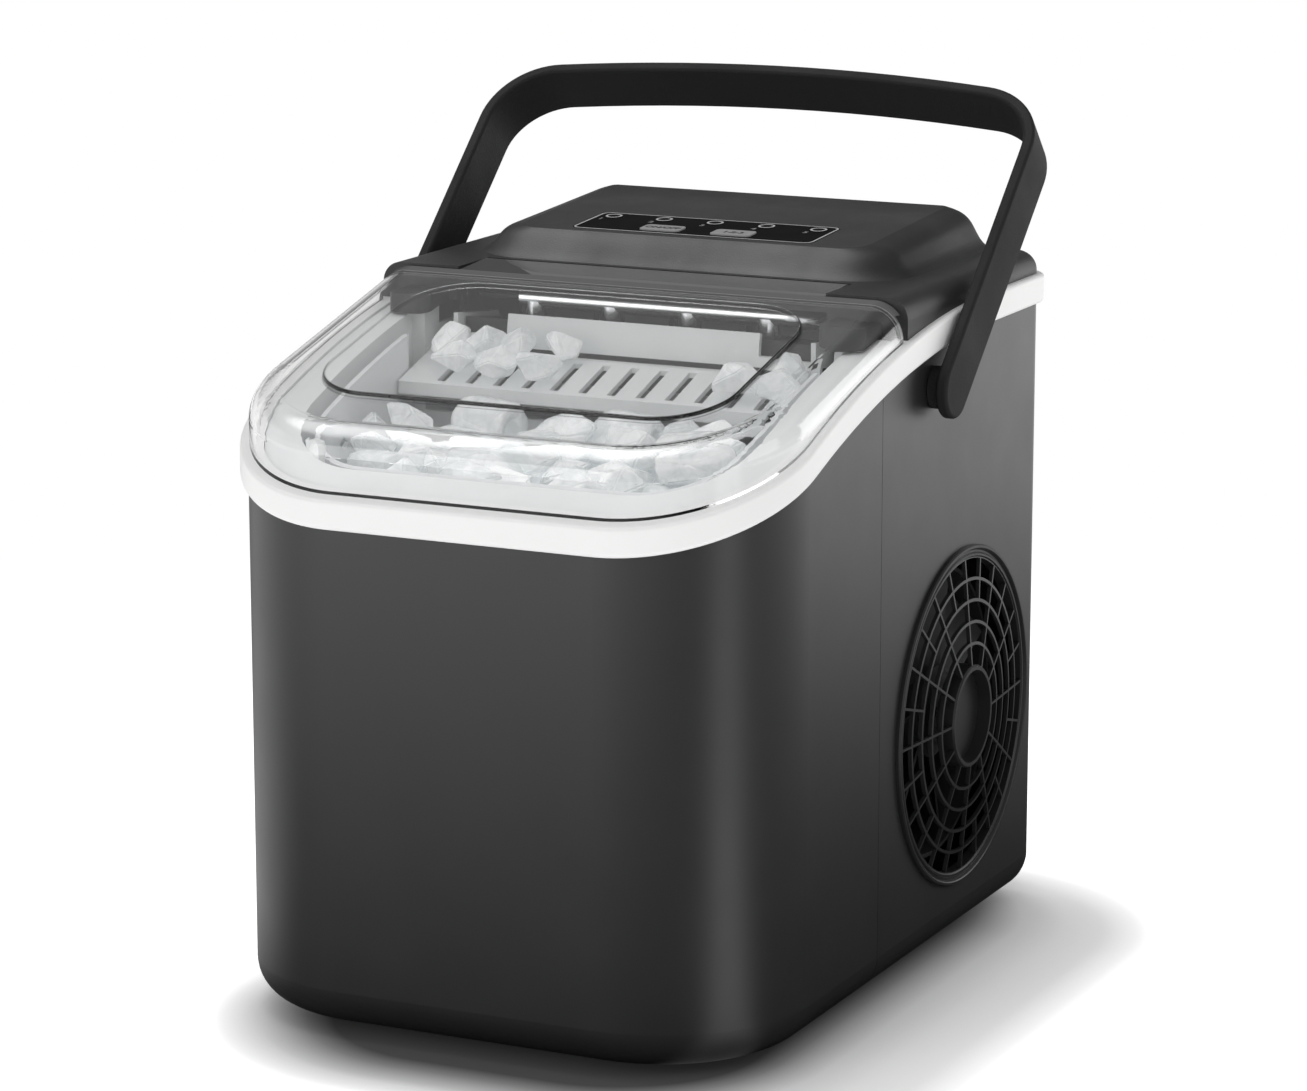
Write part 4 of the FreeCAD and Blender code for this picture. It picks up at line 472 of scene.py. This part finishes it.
def bullet(rng):
    """One bullet-shaped piece: a domed shell of ice, hollow where the finger was."""
    r = ICE_R * rng.uniform(0.9, 1.05)
    length = ICE_L * rng.uniform(0.85, 1.1)
    bore = r * rng.uniform(0.4, 0.55)
    profile = []
    for i in range(DOME_STEPS + 1):
        a = math.pi / 2 * i / DOME_STEPS
        profile.append((r * math.sin(a), -length / 2 + r - r * math.cos(a)))
    profile += [(r * 0.98, length / 2 - 0.001), (r * 0.9, length / 2),
                (bore, length / 2 - 0.0006), (bore * 0.9, -length / 2 + r * 0.9),
                (bore * 0.4, -length / 2 + r * 0.6)]
    bm = bmesh.new()
    wobble = [rng.uniform(0.93, 1.05) for _ in range(BULLET_SIDES)]
    rings = []
    for radius, z in profile:
        ring = []
        for k in range(BULLET_SIDES):
            a = math.tau * k / BULLET_SIDES
            w = 1 + (wobble[k] - 1) * (1 if radius > bore else 0.3)
            ring.append(bm.verts.new((radius * w * math.cos(a), radius * w * math.sin(a), z)))
        rings.append(ring)
    for lower, upper in zip(rings, rings[1:]):
        for k in range(BULLET_SIDES):
            j = (k + 1) % BULLET_SIDES
            bm.faces.new((lower[k], lower[j], upper[j], upper[k]))
    bm.faces.new(rings[-1])
    bmesh.ops.remove_doubles(bm, verts=bm.verts, dist=1e-6)
    return to_ice_mesh(bm, True)


def shard(rng):
    """One broken piece: flat facets with slightly melted edges."""
    bm = bmesh.new()
    for _ in range(SHARD_POINTS):
        way = Vector([rng.gauss(0, 1) for _ in range(3)]).normalized()
        bm.verts.new((way.x * ICE_R, way.y * ICE_R * 0.95, way.z * ICE_L * 0.55))
    made = bmesh.ops.convex_hull(bm, input=bm.verts)
    inside = [v for v in made["geom_interior"] if isinstance(v, bmesh.types.BMVert)]
    bmesh.ops.delete(bm, geom=inside, context="VERTS")
    bmesh.ops.bevel(bm, geom=bm.edges[:], offset=MELTED_EDGE, segments=2, affect="EDGES")
    return to_ice_mesh(bm, False)


def ice_ceiling(x, y):
    """The height that the pieces' centres reach at a place in the basket."""
    share = min(1.0, max(0.0, (y - basket_low.y) / HEAP_RUN))
    ripple = RIPPLE * math.sin(RIPPLE_ACROSS * x + RIPPLE_ALONG * y)
    top = HEAP_FRONT_Z + HEAP_RISE * share + ripple
    top -= MIDDLE_DIP * share * min(1.0, max(0.0, DIP_FLAT - abs(x - DIP_X) / DIP_HALF_W))
    under_lid = LID_INSIDE_Z + LID_RISE * (y - basket_low.y)
    top = min(top, under_lid - BASKET_TRAVEL - LYING_HALF_HEIGHT)
    if y > chute_low.y - CHUTE_MARGIN:
        top = min(top, chute_low.z - BASKET_TRAVEL - LYING_HALF_HEIGHT)
    return top


def inside_plan(x, y):
    """Whether a piece centred here clears the basket's walls and round front corners."""
    half = (basket_high.x - basket_low.x) / 2 - INSET - WALL_GAP
    front = basket_low.y + INSET + WALL_GAP
    rear = basket_high.y - INSET - WALL_GAP
    if abs(x) > half or y < front or y > rear:
        return False
    corner = BASKET_CORNER - WALL_GAP
    cx, cy = half - corner, front + corner
    if abs(x) > cx and y < cy:
        return math.hypot(abs(x) - cx, y - cy) < corner
    return True


def place_ice(rng):
    """Drops the pieces one by one into free places, layer by layer from the bottom."""
    placed = []
    z = basket_low.z + INSET + ICE_R
    while z < HEAP_LIMIT_Z:
        for _ in range(TRIES_A_LAYER):
            x = rng.uniform(basket_low.x, basket_high.x)
            y = rng.uniform(basket_low.y, basket_high.y)
            if not inside_plan(x, y) or z > ice_ceiling(x, y):
                continue
            height = z + rng.uniform(-LAYER_JITTER, LAYER_JITTER)
            p = Vector((x, y, min(height, ice_ceiling(x, y))))
            if all((p - q).length > CLOSEST for q in placed):
                placed.append(p)
        z += LAYER_STEP
    return placed


def turn_for(p):
    """Top pieces lie down, and those next to the chute along it; the others point anywhere."""
    by_chute = p.y > chute_low.y - BY_CHUTE
    if by_chute or ice_ceiling(p.x, p.y) - p.z < TOP_LAYER:
        most = (-ALONG_CHUTE, ALONG_CHUTE) if by_chute else (0, math.tau)
        way = ice_rng.uniform(*most)
        tilt = ice_rng.uniform(-NEARLY_FLAT, NEARLY_FLAT)
        down = Matrix.Rotation(math.pi / 2 + tilt, 4, "Y")
        roll = Matrix.Rotation(ice_rng.uniform(0, math.tau), 4, "Z")
        return Matrix.Rotation(way, 4, "Z") @ down @ roll
    return Euler([ice_rng.uniform(0, math.tau) for _ in range(3)]).to_matrix().to_4x4()


def chute_ice(rng):
    """Smaller pieces that came to rest on the chute, lying on its slope."""
    r = ICE_R * CHUTE_ICE_SCALE
    for x, y, turn in CHUTE_ICE_PLACES:
        z = chute_high.z - math.tan(CHUTE_SLOPE) * (CHUTE_TOP_Y - y) + r * CHUTE_ICE_REST
        lying = (Matrix.Rotation(CHUTE_SLOPE, 4, "X")
                 @ Matrix.Rotation(math.radians(turn), 4, "Z"))
        lying = lying @ Matrix.Rotation(math.pi / 2, 4, "Y") @ Matrix.Scale(CHUTE_ICE_SCALE, 4)
        roll = Matrix.Rotation(rng.uniform(0, math.tau), 4, "Z")
        yield Matrix.Translation((x, y, z)) @ lying @ roll


def ice_piece(name, body, placings):
    """Copies the given kinds of ice to their places and joins them into one piece."""
    whole = bpy.data.meshes.new(name)
    bm = bmesh.new()
    for place, kinds in placings:
        kind = kinds[ice_rng.randrange(len(kinds))].copy()
        kind.transform(place)
        bm.from_mesh(kind)
        bpy.data.meshes.remove(kind)
    bm.to_mesh(whole)
    bm.free()
    whole.materials.append(MATERIALS["ice"])
    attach(add_object(name, whole), body)


bullets = [bullet(ice_rng) for _ in range(BULLET_KINDS)]
shards = [shard(ice_rng) for _ in range(SHARD_KINDS)]
ice_piece("ice_pieces", "basket",
          [(Matrix.Translation(p) @ turn_for(p),
            shards if ice_rng.random() < SHARD_SHARE else bullets)
           for p in place_ice(ice_rng)])
ice_piece("chute_ice", "cabinet", [(place, shards) for place in chute_ice(ice_rng)])
for kind in bullets + shards:
    bpy.data.meshes.remove(kind)

# ------------------------------------------------------------------ panel print
PANEL_TILT = math.radians(3.6)
FILM = 0.0005
PRINT_THICK = 0.00005
PRINT_LIFT = 0.00002
RING_LIFT = 0.00026
NUMBER_LIFT = 0.00006
MARK_LIFT = 0.00003
LINE_INSET = 0.0004
LINE_W = 0.0008
LINE_CORNER = 0.0036
LENS_R = 0.0033
RING_R = 0.0034
RING_HOLE_R = 0.0025
CIRCLE_SLACK = 0.00001  # keeps a loop's straight sides from closing up
LENSES = 5
NUMBER_LEFT = 0.0032
NUMBER_DOWN = 0.0056
NUMBER_H = 0.0028
MARK_H = 0.003
TEXT_SIZE = 1.38  # font size for a letter height of 1
TEXT_BOLDER = 0.05
TEXT_HALF_THICK = 0.00002

label_low, label_high = box_of("panel_label")
LABEL_W = label_high.x - label_low.x
LABEL_D = (label_high.y - label_low.y) / math.cos(PANEL_TILT)
# The film's top face: its own x and y lie in it, from the middle of its front edge
PANEL = (Matrix.Translation((0, label_low.y, label_low.z + FILM * math.cos(PANEL_TILT)))
         @ Matrix.Rotation(PANEL_TILT, 4, "X"))


def rounded_loop(half_w, half_d, radius, steps=8):
    """Points of a rounded rectangle about the origin, anticlockwise."""
    points = []
    for quarter, (sx, sy) in enumerate(((1, 1), (-1, 1), (-1, -1), (1, -1))):
        for i in range(steps + 1):
            a = math.pi / 2 * (quarter + i / steps)
            points.append((sx * (half_w - radius) + radius * math.cos(a),
                           sy * (half_d - radius) + radius * math.sin(a)))
    return points


def circle(radius):
    return rounded_loop(radius, radius, radius - CIRCLE_SLACK)


def ribbon(name, centre, outer, inner, lift):
    """Thin raised print between two loops with as many points each."""
    mesh = bpy.data.meshes.new(name)
    bm = bmesh.new()
    top = lift + PRINT_THICK
    rings = [[bm.verts.new((centre[0] + x, centre[1] + y, z)) for x, y in loop]
             for loop, z in ((outer, lift), (outer, top), (inner, top), (inner, lift))]
    count = len(outer)
    for a, b in zip(rings, rings[1:] + rings[:1]):
        for i in range(count):
            j = (i + 1) % count
            bm.faces.new((a[i], a[j], b[j], b[i]))
    bmesh.ops.recalc_face_normals(bm, faces=bm.faces)
    bm.transform(PANEL)
    bm.to_mesh(mesh)
    bm.free()
    mesh.materials.append(MATERIALS["print"])
    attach(add_object(name, mesh), "cabinet")


def words(name, text, centre, height, finish, body, lift):
    """Small print on the panel, turned into a thin mesh."""
    curve = bpy.data.curves.new(name + "_text", "FONT")
    curve.body = text
    curve.size = height * TEXT_SIZE
    curve.align_x = "CENTER"
    curve.align_y = "CENTER"
    curve.extrude = TEXT_HALF_THICK
    curve.offset = height * TEXT_BOLDER
    curve.resolution_u = 3
    maker = add_object(name + "_text", curve)
    mesh = bpy.data.meshes.new_from_object(maker)
    bpy.data.objects.remove(maker)
    mesh.name = name
    mesh.transform(PANEL @ Matrix.Translation((centre[0], centre[1], lift)))
    mesh.materials.clear()
    mesh.materials.append(MATERIALS[finish])
    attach(add_object(name, mesh), body)


def on_panel(point):
    """A world point's place in the panel's own plane."""
    return PANEL.inverted() @ Vector(point)


def build_print():
    half_w, half_d = LABEL_W / 2 - LINE_INSET, LABEL_D / 2 - LINE_INSET
    ribbon("panel_outline", (0, LABEL_D / 2), rounded_loop(half_w, half_d, LINE_CORNER),
           rounded_loop(half_w - LINE_W, half_d - LINE_W, LINE_CORNER - LINE_W), PRINT_LIFT)
    led_low, led_high = box_of("led_lenses")
    row_y = on_panel((0, (led_low.y + led_high.y) / 2, led_high.z)).y
    pitch = (led_high.x - led_low.x - 2 * LENS_R) / (LENSES - 1)
    for i in range(LENSES):
        x = (i - (LENSES - 1) / 2) * pitch
        ribbon(f"led_ring_{i + 1}", (x, row_y), circle(RING_R), circle(RING_HOLE_R), RING_LIFT)
        words(f"number_{i + 1}", str(i + 1), (x - NUMBER_LEFT, row_y - NUMBER_DOWN), NUMBER_H,
              "dim_print", "cabinet", NUMBER_LIFT)
    cap_top = max(on_panel(v.co).z for v in NODES["power_button"].data.vertices)
    for button, text in (("power_button", "ON/OFF"), ("select_button", "1-2-3")):
        low, high = box_of(button)
        middle = (low + high) / 2
        on_cap = on_panel((middle.x, middle.y, high.z))
        words(button + "_print", text, (middle.x, on_cap.y), MARK_H, "ink", button,
              cap_top + MARK_LIFT)


build_print()

# ------------------------------------------------------------------ studio
FLOOR_SIZE = 12.0

# The outline that the machine stands on
FOOT_HALF_W = 0.111
FOOT_HALF_D = 0.146
FOOT_CORNER = 0.056

# Floor levels: pairs of a distance from that outline and a grey level. The contact shadow below is
# painted into the floor's colour; its outline is narrower, because the base stands in from the
# shells.
PAINTED_SHADOW_STOPS = [(0.0, 0.1), (0.01, 0.3), (0.028, 0.8), (0.045, 0.98)]
PAINTED_SHADOW_CENTRE = (0.012, -0.008, 0.0)
PAINTED_SHADOW_NARROWER = 0.026
# Painted glow: light that the floor gives off, growing away from the machine, so that only the
# painted shadow near it stays dark.
PAINTED_GLOW_STOPS = [(0.0, 0.1), (0.02, 0.16), (0.034, 0.38), (0.05, 0.85)]
PAINTED_GLOW_CENTRE = (0.03, -0.01, 0.0)
# The floor seen in reflections dims near the machine by these stops, a painted shade.
CLEAR_OF_FOOT_STOPS = [(0.0, 0.1), (0.05, 0.6), (0.12, 1.0)]

# Pairs of a distance from the middle of the floor and how far it has turned plain white
FAR_STOPS = [(0.0, 0.0), (0.42, 0.0), (0.8, 1.0)]

# What satin surfaces mirror: a floor that brightens along one way, by the distance; two cards,
# by the angle in degrees and by the height; and a dim sky, by the height, with a bright patch
# by the cosine from its middle. A height here is the sine of the angle over the horizon.
BRIGHT_WAY = (0.42, 0.91, 0.0)
BRIGHT_STOPS = [(0.0, 0.0), (0.25, 0.01), (0.5, 0.09), (0.8, 0.42), (1.25, 1.0)]
BRIGHT_LEVEL = 1.35
STREAK_WAY = (0.95, -0.31, 0.0)
STREAK_STOPS = [(0, 1.0), (6, 1.0), (12, 0.0)]
LEFT_WAY = (-0.99, 0.12, 0.0)
LEFT_STOPS = [(0, 0.7), (16, 0.62), (38, 0.0)]
CARD_LEVEL = 1.3
CARD_HEIGHT_STOPS = [(0.0, 1.0), (0.3, 1.0), (0.5, 0.0)]
FRONT_MIDDLE = (0.0, -0.09, 0.0)
SKY_STOPS = [(0.0, 0.34), (0.3, 0.3), (0.45, 0.1), (0.6, 0.38), (0.74, 0.2), (0.9, 0.3)]
BEHIND_CLEAR_STOPS = [(0.1, 1.0), (0.25, 0.0)]
OVERHEAD_WAY = (-0.42, -0.02, 0.9)
OVERHEAD_STOPS = [(0.88, 0.0), (0.96, 1.0)]
OVERHEAD_LEVEL = 3.6

FILL_LEVEL = 0.45
WHITE = (1.0, 1.0, 1.0, 1.0)

LAMPS = (  # name, place, aim, width and height, radiance, whether gloss mirrors it
    ("top_softbox", (-0.25, 0.02, 1.5), (0.0, 0.0, 0.2), (0.9, 0.9), 1.45, True),
    ("right_fill", (1.0, -0.5, 1.2), (-0.06, -0.08, 0.2), (0.8, 0.8), 0.8, False),
    ("front_fill", (0.3, -1.5, 0.9), (0.0, -0.05, 0.2), (0.9, 0.9), 0.6, False),
    ("front_left_softbox", (-0.75, -1.45, 0.5), (0.0, -0.15, 0.15), (0.9, 0.8), 2.1, True),
    ("rear_right_softbox", (0.95, 1.45, 0.5), (0.1, 0.05, 0.15), (0.9, 0.8), 1.7, True),
    ("right_softbox", (1.6, 0.1, 0.75), (0.1, 0.0, 0.15), (0.8, 0.8), 1.0, True),
)


def share_ramp(tree, value, stops, reach=None):
    """Grey by a value, with the stops' places in the value's own unit."""
    reach = reach or stops[-1][0]
    share = math_node(tree, "DIVIDE", value, reach)
    return ramp(tree, share, [(place / reach, level) for place, level in stops])


def footprint_ramp(tree, vector, stops, centre=(0.0, 0.0, 0.0), narrower=0.0):
    """Grey by the distance from the outline that the machine stands on."""
    away = outline_distance(tree, vector, centre, FOOT_HALF_W - narrower, FOOT_HALF_D,
                            FOOT_CORNER)
    return share_ramp(tree, away, stops)


def wedge(tree, vector, way, stops):
    """Grey by the angle, in degrees, between a way along the floor and the way to a point."""
    flat = vector_math(tree, "MULTIPLY", vector, (1.0, 1.0, 0.0))
    unit = vector_math(tree, "NORMALIZE", flat)
    dot = vector_math(tree, "DOT_PRODUCT", unit, Vector(way).normalized())
    angle = math_node(tree, "ARCCOSINE", dot)
    radians = [(math.radians(degrees), level) for degrees, level in stops]
    return share_ramp(tree, angle, radians, math.pi)


def studio_cards(tree, vector):
    """What satin surfaces mirror low down: a narrow card at the right, a broad one at the left."""
    streak = wedge(tree, vector, STREAK_WAY, STREAK_STOPS)
    left = wedge(tree, vector, LEFT_WAY, LEFT_STOPS)
    return math_node(tree, "MULTIPLY", math_node(tree, "MAXIMUM", streak, left), CARD_LEVEL)


def floor():
    """Pale floor: a painted shadow and a painted glow around the machine, white far off, and in
    reflections dimmed near the machine by painted shade.
    """
    h = FLOOR_SIZE / 2
    mesh = bpy.data.meshes.new("studio_floor")
    mesh.from_pydata([(-h, -h, 0), (h, -h, 0), (h, h, 0), (-h, h, 0)], [], [(0, 1, 2, 3)])
    mat, tree, shader = new_material("pale_floor")
    mesh.materials.append(mat)
    at = position(tree)

    # Painted shadow: the floor's colour darkens towards the machine's outline.
    painted_shadow = footprint_ramp(tree, at, PAINTED_SHADOW_STOPS, PAINTED_SHADOW_CENTRE, PAINTED_SHADOW_NARROWER)
    tree.links.new(painted_shadow, shader.inputs["Base Color"])
    shader.inputs["Roughness"].default_value = 0.9
    shader.inputs["Specular IOR Level"].default_value = 0.0
    # Painted glow: the floor gives off light that grows with the distance from the machine, dimmed
    # again by the painted shadow.
    painted_glow_share = footprint_ramp(tree, at, PAINTED_GLOW_STOPS, PAINTED_GLOW_CENTRE)
    lift = node(tree, "ShaderNodeEmission", Strength=1.0)
    tree.links.new(math_node(tree, "MULTIPLY", painted_glow_share, painted_shadow), lift.inputs["Color"])
    near = node(tree, "ShaderNodeAddShader")
    connect(tree, near, (shader.outputs["BSDF"], lift.outputs["Emission"]))
    white = node(tree, "ShaderNodeEmission", Strength=1.0)
    far = share_ramp(tree, vector_math(tree, "LENGTH", at), FAR_STOPS)
    seen = mix_shaders(tree, far, near.outputs[0], white.outputs["Emission"])

    along = math_node(tree, "ABSOLUTE", vector_math(tree, "DOT_PRODUCT", at, BRIGHT_WAY))
    back = math_node(tree, "MULTIPLY", share_ramp(tree, along, BRIGHT_STOPS), BRIGHT_LEVEL)
    from_front = vector_math(tree, "SUBTRACT", at, FRONT_MIDDLE)
    # Painted shade: the reflected cards dim near the machine.
    cards = math_node(tree, "MULTIPLY", studio_cards(tree, from_front),
                      footprint_ramp(tree, at, CLEAR_OF_FOOT_STOPS))
    mirrored = node(tree, "ShaderNodeEmission", Strength=1.0)
    tree.links.new(math_node(tree, "MAXIMUM", back, cards), mirrored.inputs["Color"])

    path = node(tree, "ShaderNodeLightPath")
    reflected = math_node(tree, "SUBTRACT", path.outputs["Is Glossy Ray"],
                          path.outputs["Is Transmission Ray"])
    surface = mix_shaders(tree, reflected, seen, mirrored.outputs["Emission"])
    tree.links.new(surface, tree.nodes["Material Output"].inputs["Surface"])
    add_object("studio_floor", mesh)


def softbox(name, place, target, size, radiance, mirrored):
    """Rectangular lamp of an even radiance, aimed at a point."""
    lamp = bpy.data.lights.new(name, "AREA")
    lamp.shape = "RECTANGLE"
    lamp.size, lamp.size_y = size
    lamp.energy = radiance * math.pi * size[0] * size[1]
    obj = add_object(name, lamp)
    obj.location = place
    aim = Vector(target) - Vector(place)
    obj.rotation_euler = aim.to_track_quat("-Z", "Y").to_euler()
    obj.visible_glossy = mirrored


def world():
    """Even fill for lighting, white to the camera, and a dim sky with cards for reflections."""
    made = bpy.data.worlds.new("studio")
    bpy.context.scene.world = made
    made.use_nodes = True
    tree = made.node_tree
    fill = tree.nodes["Background"]
    fill.inputs["Color"].default_value = WHITE
    fill.inputs["Strength"].default_value = FILL_LEVEL
    sight = node(tree, "ShaderNodeBackground", Strength=1.0, Color=WHITE)
    path = node(tree, "ShaderNodeLightPath")

    way = node(tree, "ShaderNodeTexCoord").outputs["Generated"]
    height = node(tree, "ShaderNodeSeparateXYZ")
    tree.links.new(way, height.inputs[0])
    height = height.outputs["Z"]
    sky = ramp(tree, height, SKY_STOPS)
    cards = math_node(tree, "MULTIPLY", studio_cards(tree, way),
                      ramp(tree, height, CARD_HEIGHT_STOPS))
    behind = math_node(tree, "MULTIPLY", path.outputs["Is Transmission Ray"],
                       ramp(tree, height, BEHIND_CLEAR_STOPS))
    facing = vector_math(tree, "DOT_PRODUCT", way, Vector(OVERHEAD_WAY).normalized())
    overhead = math_node(tree, "MULTIPLY", ramp(tree, facing, OVERHEAD_STOPS), OVERHEAD_LEVEL)
    level = sky
    for other in (cards, behind, overhead):
        level = math_node(tree, "MAXIMUM", level, other)
    dim = node(tree, "ShaderNodeBackground", Strength=1.0)
    tree.links.new(level, dim.inputs["Color"])

    direct = math_node(tree, "LESS_THAN", path.outputs["Diffuse Depth"], 0.5)
    bounced = math_node(tree, "MAXIMUM", path.outputs["Is Glossy Ray"],
                        path.outputs["Is Transmission Ray"])
    mixed = mix_shaders(tree, math_node(tree, "MULTIPLY", direct, bounced), fill.outputs[0],
                        dim.outputs[0])
    surface = mix_shaders(tree, path.outputs["Is Camera Ray"], mixed, sight.outputs[0])
    tree.links.new(surface, tree.nodes["World Output"].inputs["Surface"])


floor()
world()
for lamp_values in LAMPS:
    softbox(*lamp_values)

# ------------------------------------------------------------------ camera
CAMERA_PLACE = (0.75278, -1.55995, 0.53978)
CAMERA_DOWN = math.radians(12.23)
CAMERA_TURN = math.radians(25.531)
LENS = 126.05
SENSOR_W = 36.0

camera_data = bpy.data.cameras.new("camera")
camera_data.sensor_width = SENSOR_W
camera_data.lens = LENS
camera_data.clip_end = 50.0
camera = add_object("camera", camera_data)
camera.location = CAMERA_PLACE
camera.rotation_euler = (math.pi / 2 - CAMERA_DOWN, 0.0, CAMERA_TURN)
bpy.context.scene.camera = camera

bpy.context.scene.view_settings.view_transform = "Standard"
